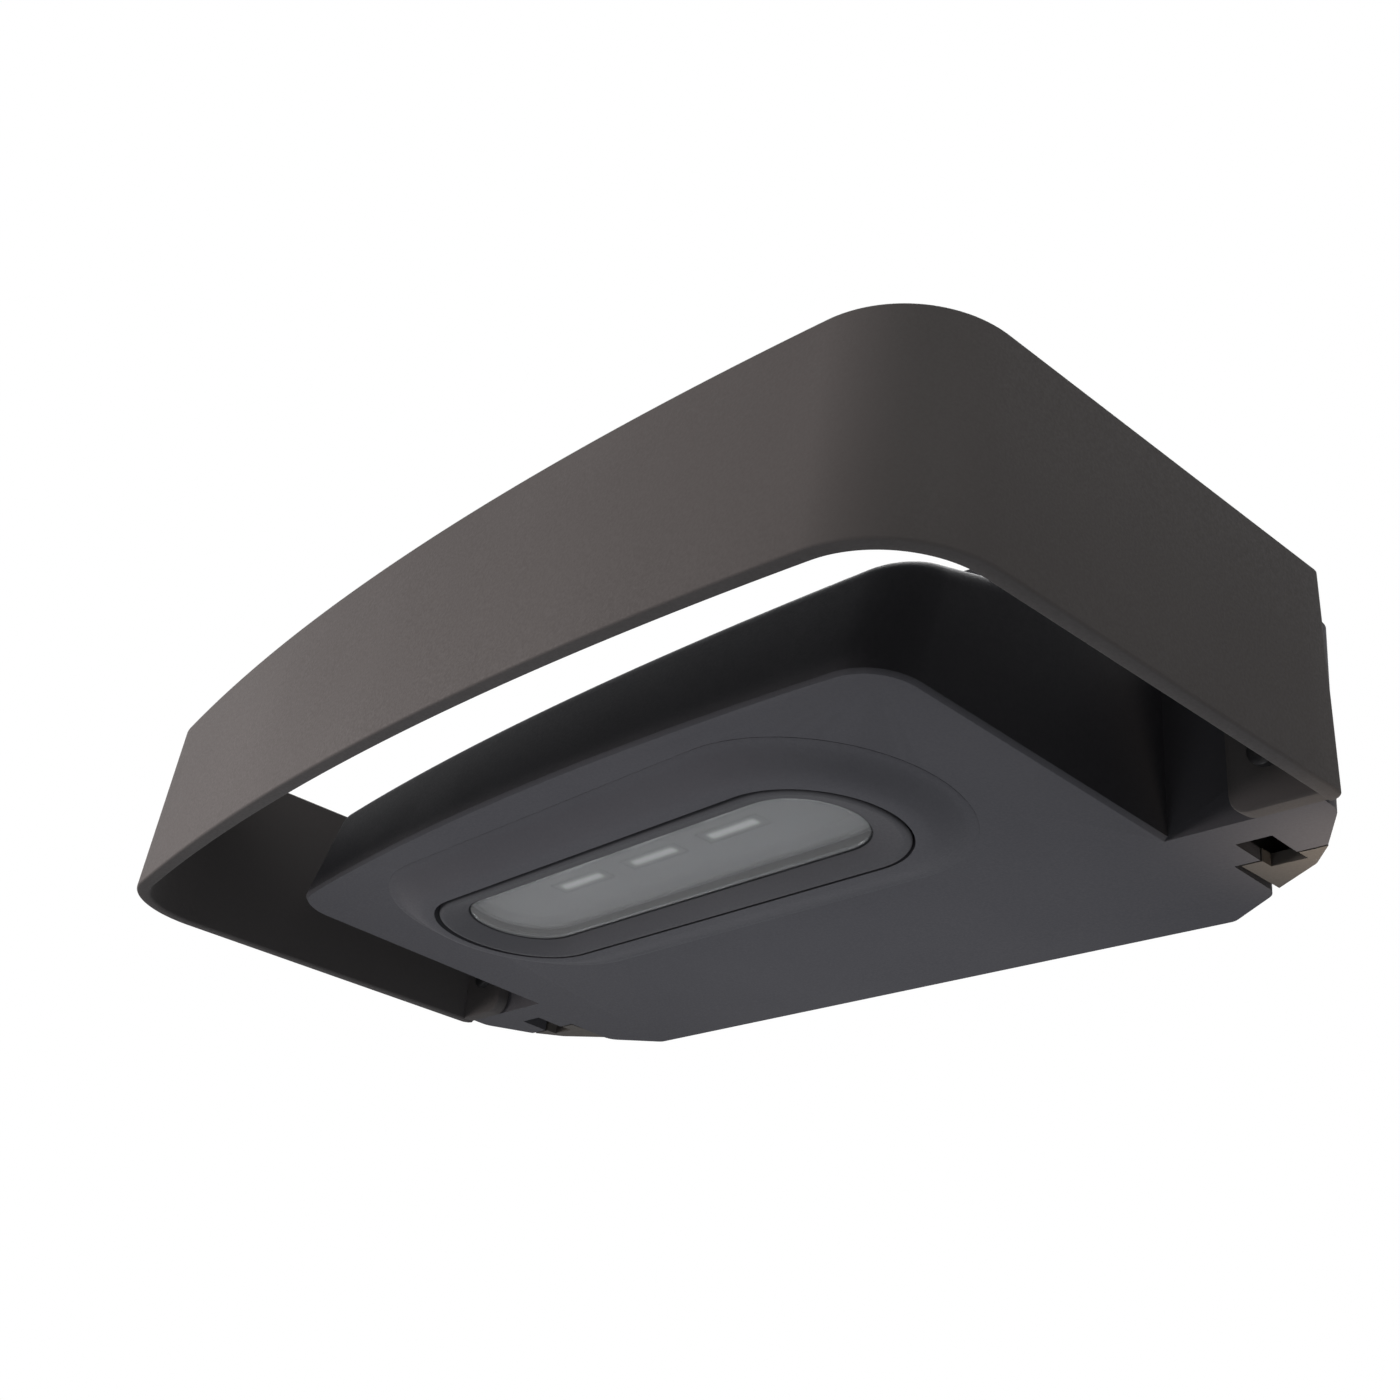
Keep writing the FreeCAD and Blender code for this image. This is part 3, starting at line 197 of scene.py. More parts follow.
@dataclass(frozen=True)
class PowderCoat:
    """Fine-textured powder coat: a matt paint with a tight orange peel."""

    name: str
    colour: Colour = (0.052, 0.052, 0.059)
    worn: Colour = (0.060, 0.060, 0.067)
    grain: float = 1500.0
    roughness: tuple[float, float] = (0.6, 0.75)
    relief: float = 0.00006
    bump: float = 0.5
    drift: float = 14.0
    gloss: float = 0.1

    def make(self) -> bpy.types.Material:
        """Build the material.

        Returns:
            The finished material.
        """
        shader = Shader(self.name)
        cloud = shader.span(shader.noise(self.drift, 2.0), 0.0, 1.0)
        shader.link(shader.tint(cloud, self.colour, self.worn), shader.surface.inputs["Base Color"])
        peel = shader.noise(self.grain, 2.0, 0.6)
        shader.link(shader.span(peel, *self.roughness), shader.surface.inputs["Roughness"])
        shader.bump(peel, self.bump, self.relief)
        shader.set("Specular IOR Level", self.gloss)
        return shader.material


@dataclass(frozen=True)
class BareMetal:
    """Plated or milled metal with a fine directionless scratch."""

    name: str
    colour: Colour = (0.55, 0.55, 0.56)
    shade: Colour = (0.42, 0.42, 0.44)
    grain: float = 900.0
    roughness: tuple[float, float] = (0.25, 0.42)
    relief: float = 0.00003
    bump: float = 0.3

    def make(self) -> bpy.types.Material:
        """Build the material.

        Returns:
            The finished material.
        """
        shader = Shader(self.name)
        fine = shader.noise(self.grain, 4.0, 0.6)
        shader.link(shader.tint(shader.span(fine, 0.0, 1.0), self.colour, self.shade),
                    shader.surface.inputs["Base Color"])
        shader.link(shader.span(fine, *self.roughness), shader.surface.inputs["Roughness"])
        shader.bump(fine, self.bump, self.relief)
        shader.set("Metallic", 1.0)
        return shader.material


@dataclass(frozen=True)
class Moulding:
    """Moulded plastic or silicone: soft colour drift and a fine matt skin."""

    name: str
    colour: Colour
    shade: Colour
    grain: float = 1200.0
    roughness: tuple[float, float] = (0.45, 0.6)
    relief: float = 0.00002
    bump: float = 0.3
    drift: float = 40.0

    def make(self) -> bpy.types.Material:
        """Build the material.

        Returns:
            The finished material.
        """
        shader = Shader(self.name)
        drift = shader.span(shader.noise(self.drift, 3.0), 0.0, 1.0)
        shader.link(shader.tint(drift, self.colour, self.shade), shader.surface.inputs["Base Color"])
        fine = shader.noise(self.grain, 2.0)
        shader.link(shader.span(fine, *self.roughness), shader.surface.inputs["Roughness"])
        shader.bump(fine, self.bump, self.relief)
        return shader.material


@dataclass(frozen=True)
class ArrayFace:
    """Face of the light arrays: a near-white bar in the middle of each dark-rimmed array, partly the
    emitter's own face and partly a painted highlight.
    """

    name: str
    rim: Colour
    # bar colour: the emitter's face, painted near white and bright as a highlight
    bar_and_highlight: Colour
    pitch: float = 0.0314
    centre_y: float = -0.0996
    half_length: float = 0.0092
    half_width: float = 0.0017
    blur: float = 0.0008
    grain: float = 1800.0
    roughness: tuple[float, float] = (0.4, 0.55)
    relief: float = 0.00002
    bump: float = 0.3

    def make(self) -> bpy.types.Material:
        """Build the material.

        Returns:
            The finished material.
        """
        shader = Shader(self.name)
        axes = shader.add("ShaderNodeSeparateXYZ")
        shader.link(shader.place, axes.inputs[0])
        cell = shader.add("ShaderNodeMath", operation="WRAP")
        shader.link(axes.outputs["X"], cell.inputs[0])
        cell.inputs[1].default_value, cell.inputs[2].default_value = 0.5 * self.pitch, -0.5 * self.pitch
        offset = shader.add("ShaderNodeMath", operation="SUBTRACT")
        shader.link(axes.outputs["Y"], offset.inputs[0])
        offset.inputs[1].default_value = self.centre_y
        inside = shader.add("ShaderNodeMath", operation="MULTIPLY")
        for k, (source, half) in enumerate(((cell, self.half_length), (offset, self.half_width))):
            away = shader.add("ShaderNodeMath", operation="ABSOLUTE")
            shader.link(source.outputs[0], away.inputs[0])
            bar = shader.span(away.outputs[0], 1.0, 0.0, (half - self.blur, half))
            shader.link(bar, inside.inputs[k])
        # painted highlight: the bar blends from the dark rim into the near-white bar colour
        shader.link(shader.tint(inside.outputs[0], self.rim, self.bar_and_highlight),
                    shader.surface.inputs["Base Color"])
        fine = shader.noise(self.grain, 2.0)
        shader.link(shader.span(fine, *self.roughness), shader.surface.inputs["Roughness"])
        shader.bump(fine, self.bump, self.relief)
        return shader.material


@dataclass(frozen=True)
class FrostedGlass:
    """Lightly frosted glass that refracts little, so that what lies behind shows in place."""

    name: str
    colour: Colour = (0.58, 0.59, 0.60)
    grain: float = 2600.0
    roughness: tuple[float, float] = (0.12, 0.2)
    relief: float = 0.00001
    bump: float = 0.2
    drift: float = 30.0
    pale_share: float = 0.94
    clearness: float = 0.86
    refraction: float = 1.12

    def make(self) -> bpy.types.Material:
        """Build the material.

        Returns:
            The finished material.
        """
        shader = Shader(self.name)
        frost = shader.noise(self.grain, 3.0, 0.6)
        drift = shader.span(shader.noise(self.drift, 2.0), 0.0, 1.0)
        pale = tuple(self.pale_share * c for c in self.colour)
        shader.link(shader.tint(drift, self.colour, pale), shader.surface.inputs["Base Color"])
        shader.link(shader.span(frost, *self.roughness), shader.surface.inputs["Roughness"])
        shader.bump(frost, self.bump, self.relief)
        shader.set("Transmission Weight", self.clearness)
        shader.set("IOR", self.refraction)
        return shader.material


# ---- mesh helpers ----------------------------------------------------------------------


def new_object(name: str, mesh: bpy.types.Mesh) -> bpy.types.Object:
    """Link a mesh into the scene as an object at the origin.

    Args:
        name: the piece's name.
        mesh: its mesh.

    Returns:
        The object.
    """
    piece = bpy.data.objects.new(name, mesh)
    bpy.context.scene.collection.objects.link(piece)
    return piece


def face_outwards(mesh: bpy.types.Mesh, weld: float = 1e-6) -> None:
    """Merge doubled points and turn a closed mesh's faces outwards.

    Args:
        mesh: the mesh to put right.
        weld: distance under which points merge, in metres.
    """
    bm = bmesh.new()
    bm.from_mesh(mesh)
    bmesh.ops.remove_doubles(bm, verts=bm.verts, dist=weld)
    bmesh.ops.recalc_face_normals(bm, faces=bm.faces)
    bm.to_mesh(mesh)
    bm.free()


def grid_faces(rows: int, columns: int, wrap_rows: bool, wrap_columns: bool) -> np.ndarray:
    """Corner indices of a grid's quads.

    Args:
        rows: points along the first parameter.
        columns: points along the second parameter.
        wrap_rows: whether the last row joins the first.
        wrap_columns: whether the last column joins the first.

    Returns:
        An array of four corners per quad.
    """
    i = np.arange(rows if wrap_rows else rows - 1)
    j = np.arange(columns if wrap_columns else columns - 1)
    a, b = np.meshgrid(i, j, indexing="ij")
    a, b = a.ravel(), b.ravel()
    a2, b2 = (a + 1) % rows, (b + 1) % columns
    return np.stack([a * columns + b, a2 * columns + b, a2 * columns + b2, a * columns + b2], 1)


def skin(name: str, grid: np.ndarray, wrap_rows: bool = False, wrap_columns: bool = True,
         sharp: float = 35.0) -> bpy.types.Object:
    """Turn a grid of points into a closed, smooth-shaded object.

    A grid that is open along its rows is closed with one flat face at each end.

    Args:
        name: the piece's name.
        grid: points as an array of rows by columns by 3, in millimetres.
        wrap_rows: whether the last row joins the first.
        wrap_columns: whether the last column joins the first.
        sharp: edges that turn by more than this many degrees stay sharp.

    Returns:
        The object.
    """
    rows, columns = grid.shape[:2]
    faces = grid_faces(rows, columns, wrap_rows, wrap_columns).tolist()
    if not wrap_rows:
        faces.append(list(range(columns))[::-1])
        faces.append([(rows - 1) * columns + i for i in range(columns)])
    mesh = bpy.data.meshes.new(name)
    mesh.from_pydata((grid.reshape(-1, 3) * MM).tolist(), [], faces)
    face_outwards(mesh)
    mesh.shade_smooth()
    mesh.set_sharp_from_angle(angle=math.radians(sharp))
    return new_object(name, mesh)


def skins(name: str, grids: list[np.ndarray], sharp: float = 35.0) -> bpy.types.Object:
    """Join several closed grids, each wrapped along its columns, into one object.

    Args:
        name: the piece's name.
        grids: point arrays of rows by columns by 3, in millimetres.
        sharp: edges that turn by more than this many degrees stay sharp.

    Returns:
        The object.
    """
    faces, start = [], 0
    for grid in grids:
        rows, columns = grid.shape[:2]
        faces += (grid_faces(rows, columns, False, True) + start).tolist()
        faces.append([start + i for i in range(columns)][::-1])
        faces.append([start + (rows - 1) * columns + i for i in range(columns)])
        start += rows * columns
    mesh = bpy.data.meshes.new(name)
    points = np.concatenate([grid.reshape(-1, 3) for grid in grids])
    mesh.from_pydata((points * MM).tolist(), [], faces)
    face_outwards(mesh)
    mesh.shade_smooth()
    mesh.set_sharp_from_angle(angle=math.radians(sharp))
    return new_object(name, mesh)


def arc(centre: tuple[float, float], radius: float, start: float, end: float, count: int) -> np.ndarray:
    """Points on a circle from start to end, in degrees.

    Args:
        centre: the circle's middle.
        radius: its radius.
        start: first angle.
        end: last angle.
        count: how many points.

    Returns:
        An array of count points with two coordinates.
    """
    a = np.radians(np.linspace(start, end, count))
    return np.stack([centre[0] + radius * np.cos(a), centre[1] + radius * np.sin(a)], 1)


def rounded_rectangle(x0: float, x1: float, y0: float, y1: float, radii: tuple[float, float],
                      count: int = 5) -> np.ndarray:
    """Closed outline of a rectangle with round corners, as four quarter circles.

    Args:
        x0: low side on the first axis.
        x1: high side on the first axis.
        y0: low side on the second axis.
        y1: high side on the second axis.
        radii: corner radius at the low side and at the high side of the first axis.
        count: points per corner.

    Returns:
        The outline's points.
    """
    low, high = radii
    return np.concatenate([arc((x1 - high, y0 + high), high, -90, 0, count),
                           arc((x1 - high, y1 - high), high, 0, 90, count),
                           arc((x0 + low, y1 - low), low, 90, 180, count),
                           arc((x0 + low, y0 + low), low, 180, 270, count)])


def refined_copy(node: str, name: str, edge: float, sharp: float = 32.0) -> bpy.types.Object:
    """Copy a CAD node's mesh, join its loose triangles and soften its edges.

    Args:
        node: the CAD node's name.
        name: the new piece's name.
        edge: width of the softened edges, in millimetres.
        sharp: edges that turn by less than this many degrees are smooth.

    Returns:
        The new object, which stands for the node.
    """
    source = bpy.data.objects[node]
    mesh = source.data.copy()
    mesh.name = name
    mesh.materials.clear()
    bm = bmesh.new()
    bm.from_mesh(mesh)
    bmesh.ops.remove_doubles(bm, verts=bm.verts, dist=WELD)
    bmesh.ops.dissolve_limit(bm, angle_limit=math.radians(FLAT_TURN), verts=bm.verts,
                             edges=bm.edges)
    bm.to_mesh(mesh)
    bm.free()
    mesh.shade_smooth()
    mesh.set_sharp_from_angle(angle=math.radians(sharp))
    piece = new_object(name, mesh)
    if edge > 0:
        bevel = piece.modifiers.new("soft_edges", "BEVEL")
        bevel.width = edge * MM
        bevel.segments = BEVEL_STEPS
        bevel.limit_method = "ANGLE"
        bevel.angle_limit = math.radians(sharp)
        bevel.use_clamp_overlap = True
        bevel.harden_normals = True
    return piece


def dress(piece: bpy.types.Object, material: bpy.types.Material) -> bpy.types.Object:
    """Give a piece one material in all of its slots.

    Args:
        piece: the piece to dress.
        material: its material.

    Returns:
        The same piece.
    """
    piece.data.materials.clear()
    piece.data.materials.append(material)
    return piece


def enrol(piece: bpy.types.Object, body: Body, slot: str, *nodes: str) -> bpy.types.Object:
    """Register a finished piece with the frame.

    Args:
        piece: the finished piece.
        body: the body that it moves with.
        slot: the record's material slot; not used.
        *nodes: CAD nodes that it stands for.

    Returns:
        The same piece.
    """
    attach(piece, body.value)
    if nodes:
        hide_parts(*nodes)
    LOG.info("piece %s on %s, %d points", piece.name, body.value, len(piece.data.vertices))
    return piece


# ---- hood band -------------------------------------------------------------------------


@dataclass
class HoodBand:
    """The bent strip that stands clear of the housing, with its returned screw tabs."""

    half_width: float = 165.0
    front: float = -191.0
    bow: float = 1131.0
    corner: float = 26.6
    bottom: float = -53.0
    height: float = 53.0
    wall: float = 4.0
    lean: float = 0.8
    rear_bottom: float = -49.0
    rear_top: float = -52.2
    edge: float = 0.7
    bend: float = 2.5
    tab_width: float = 20.0
    tab_root: float = 1.5
    tab_drop: float = 9.0
    tab_lift: float = 0.3
    tab_corner: float = 5.0
    tab_sink: float = 0.03
    tab_corner_points: int = 8
    end_steps: int = 6
    side_steps: int = 12
    bend_steps: int = 36
    front_steps: int = 40

    def path(self, inset: np.ndarray, rear: np.ndarray, outer: np.ndarray) -> np.ndarray:
        """Plan points of the strip's skin at each inset from the outer face.

        The right half is a quarter-round end, a straight side, a corner circle that is tangent
        to it and to the front's large circle, and half of that circle; the left half is its
        mirror image.

        Args:
            inset: inset of each profile point, in millimetres.
            rear: where each profile point's side ends, as y.
            outer: 1 for profile points on the outer face, 0 for the others.

        Returns:
            x and y as an array of stations by profile points by 2.
        """
        width, bow, corner = self.half_width - inset, self.bow - inset, self.corner - inset
        middle = self.front + self.bow
        cx = width - corner
        cy = middle - np.sqrt((bow - corner) ** 2 - cx ** 2)
        turn = np.arctan2(cy - middle, cx)
        a = np.linspace(0.0, 0.5 * np.pi, self.end_steps)[:, None]
        drawn_in = self.bend * (1.0 - np.sin(a)) * outer
        end = np.stack([width - drawn_in, rear - self.bend * (1.0 - np.cos(a))], -1)
        t = np.linspace(0.0, 1.0, self.side_steps + 1)[1:, None]
        start = rear - self.bend
        side = np.stack([width + 0 * t, start + (cy - start) * t], -1)
        t = np.linspace(0.0, 1.0, self.bend_steps + 1)[1:, None]
        bend = np.stack([cx + corner * np.cos(turn * t), cy + corner * np.sin(turn * t)], -1)
        t = np.linspace(0.0, 1.0, self.front_steps + 1)[1:, None]
        sweep = turn + (-0.5 * np.pi - turn) * t
        front = np.stack([bow * np.cos(sweep), middle + bow * np.sin(sweep)], -1)
        right = np.concatenate([end, side, bend, front])
        left = right[-2::-1] * np.array([-1.0, 1.0])
        return np.concatenate([right, left])

    def strip(self) -> bpy.types.Object:
        """Carry the strip's round-edged section along its path, leaning in towards the top.

        Returns:
            The strip.
        """
        section = rounded_rectangle(0.0, self.wall, 0.0, self.height, (self.edge, self.edge))
        rise = section[:, 1] / self.height
        inset = section[:, 0] + self.lean * rise
        rear = self.rear_bottom + (self.rear_top - self.rear_bottom) * rise
        outer = (section[:, 0] < 0.5 * self.wall).astype(float)
        plan = self.path(inset, rear, outer)
        z = np.broadcast_to(self.bottom + section[:, 1], plan.shape[:2])
        return skin("hood_strip", np.dstack([plan, z[..., None]]))

    def leaning(self, points: np.ndarray) -> np.ndarray:
        """Turn upright points about the strip's lower rear edge until they follow its slanted end.

        Args:
            points: millimetres, as an array whose last axis is x, y, z.

        Returns:
            The turned points.
        """
        angle = math.atan2(self.rear_bottom - self.rear_top, self.height)
        y, z = points[..., 1] - self.rear_bottom, points[..., 2] - self.bottom
        turned = np.array(points)
        turned[..., 1] = self.rear_bottom + y * math.cos(angle) - z * math.sin(angle)
        turned[..., 2] = self.bottom + y * math.sin(angle) + z * math.cos(angle)
        return turned

    def tab(self, side: int) -> bpy.types.Object:
        """Round-cornered screw tab that returns inwards from one end of the strip.

        The outline shrinks and grows by the edge radius through the plate's thickness.

        Args:
            side: 1 for the right, -1 for the left.

        Returns:
            The tab.
        """
        root = self.half_width - self.lean - self.wall
        low, high = self.bottom + self.tab_lift, self.bottom + self.height - self.tab_drop
        front, rear = self.rear_bottom - self.wall, self.rear_bottom - self.tab_sink
        near = 0.3 * self.edge
        steps = [(front, self.edge), (front + near, near), (front + self.edge, 0.0),
                 (rear - near, 0.0), (rear, near)]
        rings = []
        for y, inset in steps:
            ring = rounded_rectangle(root - self.tab_width + inset, root + self.tab_root, low + inset,
                                     high - inset, (self.tab_corner - inset, 0.1),
                                     self.tab_corner_points)
            rings.append(np.stack([side * ring[:, 0], np.full(len(ring), y), ring[:, 1]], 1))
        return skin(f"hood_tab_{'right' if side > 0 else 'left'}", self.leaning(np.array(rings)))

    def screw_places(self, inset: float = 10.0,
                     heights: tuple[float, float] = (-40.0, -17.0)) -> np.ndarray:
        """Middles of the screw heads' seats on both tabs, upright, in millimetres.

        Args:
            inset: how far the screws stand in from the strip's inner face.
            heights: their heights.

        Returns:
            Four points.
        """
        x = self.half_width - self.lean - self.wall - inset
        return np.array([(s * x, self.rear_bottom - self.wall, z) for s in (-1, 1) for z in heights])

    def build(self, paint: bpy.types.Material, screw: "Screw", steel: bpy.types.Material) -> None:
        """Make, paint and register the band and its screws.

        Args:
            paint: the band's coat.
            screw: the screw that holds a tab.
            steel: the screws' finish, near black and dull as painted shade.
        """
        enrol(dress(self.strip(), paint), Body.DOOR, "band_paint", "hood_band")
        for side in (1, -1):
            enrol(dress(self.tab(side), paint), Body.DOOR, "band_paint", "hood_band")
        grid = [self.leaning(screw.points(place, Along.PLUS_Y)) for place in self.screw_places()]
        enrol(dress(skins("hood_screws", grid), steel), Body.DOOR, "screw_steel", "band_screws")


# ---- screws ----------------------------------------------------------------------------


class Along(Enum):
    """Which way a screw's shank points: the images of the screw's own x, y and z axes."""

    PLUS_Y = ((1, 0, 0), (0, 0, -1), (0, 1, 0))


@dataclass
class Screw:
    """A screw with a domed head, a hexagon recess and a helical thread, in millimetres."""

    radius: float
    head_radius: float
    head_height: float
    grip: float
    recess: float
    pitch: float = 0.8
    edge: float = 0.25
    dome: float = 0.35
    columns: int = 36
    pole: float = 0.05
    recess_share: float = 0.45
    recess_rim: float = 1.08
    crown_steps: int = 4
    tip_share: float = 0.75
    thread_share: float = 0.35
    steps_per_pitch: int = 4

    def head(self, turn: np.ndarray) -> tuple[np.ndarray, np.ndarray]:
        """Radius and depth of the head's rings, from the recess's floor out to the shank.

        The recess's rings are a hexagon: its flat's distance over the cosine of the angle from
        that flat's middle. The head's crown is an arc that falls away by the dome's height.

        Args:
            turn: angle of each column.

        Returns:
            Radius as rings by columns, and depth along the shank for each ring.
        """
        hexagon = 0.5 * self.recess / np.cos((turn + math.pi / 6) % (math.pi / 3) - math.pi / 6)
        floor = -self.recess_share * self.head_height
        crown = np.linspace(0.0, 1.0, self.crown_steps)
        inner = 0.5 * self.recess + 0.5 * self.edge
        crown_radius = inner + (self.head_radius - self.edge - inner) * crown
        crown_depth = -self.head_height + self.dome * crown ** 2
        start = self.recess_rim * hexagon
        rings = [self.pole * np.ones_like(turn), hexagon, hexagon, start]
        rings += [np.maximum(r, start) for r in crown_radius[1:]]
        depth = [floor, floor, -self.head_height + 0.3 * self.edge, -self.head_height]
        depth += list(crown_depth[1:])
        rings += [np.full_like(turn, self.head_radius), np.full_like(turn, self.head_radius)]
        depth += [self.dome - self.head_height + self.edge, 0.0]
        return np.array(rings), np.array(depth)

    def shank(self, turn: np.ndarray) -> tuple[np.ndarray, np.ndarray]:
        """Radius and depth of the shank's rings: a triangle wave that climbs one pitch per turn.

        Args:
            turn: angle of each column.

        Returns:
            Radius as rings by columns, and depth along the shank for each ring.
        """
        count = int(self.grip / self.pitch * self.steps_per_pitch)
        depth = np.linspace(0.0, self.grip - 0.5 * self.pitch, count)
        phase = (depth[:, None] / self.pitch - turn / (2 * math.pi)) % 1.0
        ramp = np.clip(depth / self.pitch, 0.0, 1.0)[:, None]
        groove = 1.0 - np.abs(2.0 * phase - 1.0)
        rings = self.radius - self.thread_share * self.pitch * ramp * groove
        tip = np.full((2, turn.size), self.tip_share * self.radius)
        tip[1] = self.pole
        return np.concatenate([rings, tip]), np.append(depth, [self.grip, self.grip])

    def points(self, place: np.ndarray, along: Along) -> np.ndarray:
        """Rings of the whole screw.

        Args:
            place: where the head's underside meets the axis.
            along: which way the shank points.

        Returns:
            Points as rings by columns by 3.
        """
        turn = np.linspace(0.0, 2 * math.pi, self.columns, endpoint=False)
        head_rings, head_depth = self.head(turn)
        shank_rings, shank_depth = self.shank(turn)
        radius = np.concatenate([head_rings, shank_rings])
        depth = np.concatenate([head_depth, shank_depth])
        local = np.stack([radius * np.cos(turn), radius * np.sin(turn),
                          np.broadcast_to(depth[:, None], radius.shape)], -1)
        return local @ np.array(along.value, float) + np.asarray(place)


# ---- lens window -----------------------------------------------------------------------


@dataclass
class LensWindow:
    """Bezel and glass of the racetrack window."""

    centre_y: float = -99.6
    half_straight: float = 58.0
    race_step: int = 40
    rear_lip: float = 1.0
    lip_blend: float = 10.0

    def race(self, straight: np.ndarray, width: np.ndarray, z: np.ndarray) -> np.ndarray:
        """Racetrack rings about the lens: a straight stretch with a half circle at each end.

        Args:
            straight: half length of each ring's straight, in millimetres.
            width: end radius of each ring.
            z: height of each ring.

        Returns:
            Points as an array of stations by rings by 3.
        """
        a = np.radians(np.linspace(-90.0, 90.0, self.race_step))
        turn = np.concatenate([a, a + np.pi])
        side = np.repeat([1.0, -1.0], a.size)
        x = side[:, None] * straight + width * np.cos(turn)[:, None]
        y = self.centre_y + width * np.sin(turn)[:, None]
        return np.stack([x, y, np.broadcast_to(z, x.shape)], -1)

    def bezel(self) -> bpy.types.Object:
        """Ring turned about the racetrack: flat face, sloping mouth, throat and rear flange.

        The outer lip's rings are moved back by rear_lip behind the middle line, blended in over
        lip_blend.

        Returns:
            The ring.
        """
        profile = np.array([[60.5, 22.8, -54.6], [60.5, 22.55, -55.0], [60.5, 22.1, -55.2],
                            [60.2, 21.6, -55.2], [60.2, 21.1, -55.08], [58.1, 16.4, -53.1],
                            [58.0, 16.05, -52.8], [58.0, 16.0, -52.4], [58.0, 16.0, -51.4],
                            [58.0, 20.0, -51.4], [58.0, 20.0, -46.6], [60.5, 31.5, -46.6],
                            [60.5, 31.5, -49.0], [60.5, 22.8, -49.0]])
        grid = self.race(*profile.T)
        rear = np.clip((grid[..., 1] - self.centre_y) / self.lip_blend, 0.0, 1.0)
        grid[..., 1] += self.rear_lip * rear * np.isin(np.arange(len(profile)), (0, 1, 2))
        return skin("lens_bezel_ring", grid, wrap_rows=True)

    def glass(self) -> bpy.types.Object:
        """Stepped glass plate whose outer face is very slightly domed.

        Returns:
            The plate.
        """
        profile = np.array([[2.0, -53.0], [8.0, -52.99], [12.0, -52.96], [14.6, -52.9], [15.2, -52.8],
                            [15.6, -52.5], [15.6, -50.6], [19.6, -50.6], [19.6, -46.6], [2.0, -46.6]])
        straight = np.full(len(profile), self.half_straight)
        grid = self.race(straight, profile[:, 0], profile[:, 1])
        return skin("lens_plate", grid.transpose(1, 0, 2), wrap_rows=False)

    def build(self, finishes: dict[str, bpy.types.Material]) -> None:
        """Make, dress and register the window's pieces.

        Args:
            finishes: materials by finish.
        """
        enrol(dress(self.bezel(), finishes["bezel"]), Body.DOOR, "bezel_paint", "lens_bezel")
        enrol(dress(self.glass(), finishes["glass"]), Body.DOOR, "glass", "lens_glass")


# ---- castings --------------------------------------------------------------------------


@dataclass
class Castings:
    """Lamp housing and back box, with softened casting edges."""

    housing_edge: float = 0.5
    box_edge: float = 0.5

    def build(self, housing_paint: bpy.types.Material, box_paint: bpy.types.Material) -> None:
        """Make, paint and register both castings.

        Args:
            housing_paint: the lamp housing's coat.
            box_paint: the back box's coat, lighter and warmer than the housing's, with warm light
                painted in.
        """
        housing = refined_copy("lamp_housing", "housing_casting", self.housing_edge)
        enrol(dress(housing, housing_paint), Body.DOOR, "dark_paint", "lamp_housing")
        box = refined_copy("back_box", "box_casting", self.box_edge)
        enrol(dress(box, box_paint), Body.BOX, "dark_paint", "back_box")


# ---- studio ----------------------------------------------------------------------------


@dataclass(frozen=True)
class Lamp:
    """A square area lamp; size is its side in metres, power in watts, spread in degrees."""

    name: str
    place: Point
    aim: Point
    size: float
    power: float
    colour: Colour
    spread: float

    def hang(self) -> None:
        """Put the lamp into the scene, out of the camera's sight."""
        data = bpy.data.lights.new(self.name, "AREA")
        data.size = self.size
        data.spread = math.radians(self.spread)
        data.energy = self.power
        data.color = self.colour
        lamp = bpy.data.objects.new(self.name, data)
        bpy.context.scene.collection.objects.link(lamp)
        lamp.location = self.place
        towards = Vector(self.aim) - Vector(self.place)
        lamp.rotation_euler = towards.to_track_quat("-Z", "Y").to_euler()
        lamp.visible_camera = False


LAMPS = (
    Lamp("key", (-0.62, -0.95, 0.02), (-0.05, -0.18, -0.02), 0.5, 3.9, (1.0, 0.91, 0.88), 80.0),
    Lamp("below", (0.0, -0.08, -0.41), (0.01, -0.10, 0.0), 0.16, 0.375, (0.95, 0.97, 1.0), 120.0),
    Lamp("above", (-0.35, 0.35, 0.85), (0.0, -0.07, 0.0), 0.6, 1.7, WHITE, 60.0),
    Lamp("rear", (-0.45, 1.0, 0.25), (0.0, 0.0, 0.0), 0.6, 2.0, WHITE, 60.0),
    Lamp("side", (0.92, -0.55, 0.10), (0.14, -0.16, 0.0), 0.3, 0.62, (1.0, 0.97, 0.94), 60.0),
    Lamp("corner", (0.165, -0.018, -0.125), (0.155, -0.028, -0.053), 0.03, 0.009,
         (1.0, 0.84, 0.68), 50.0),
)


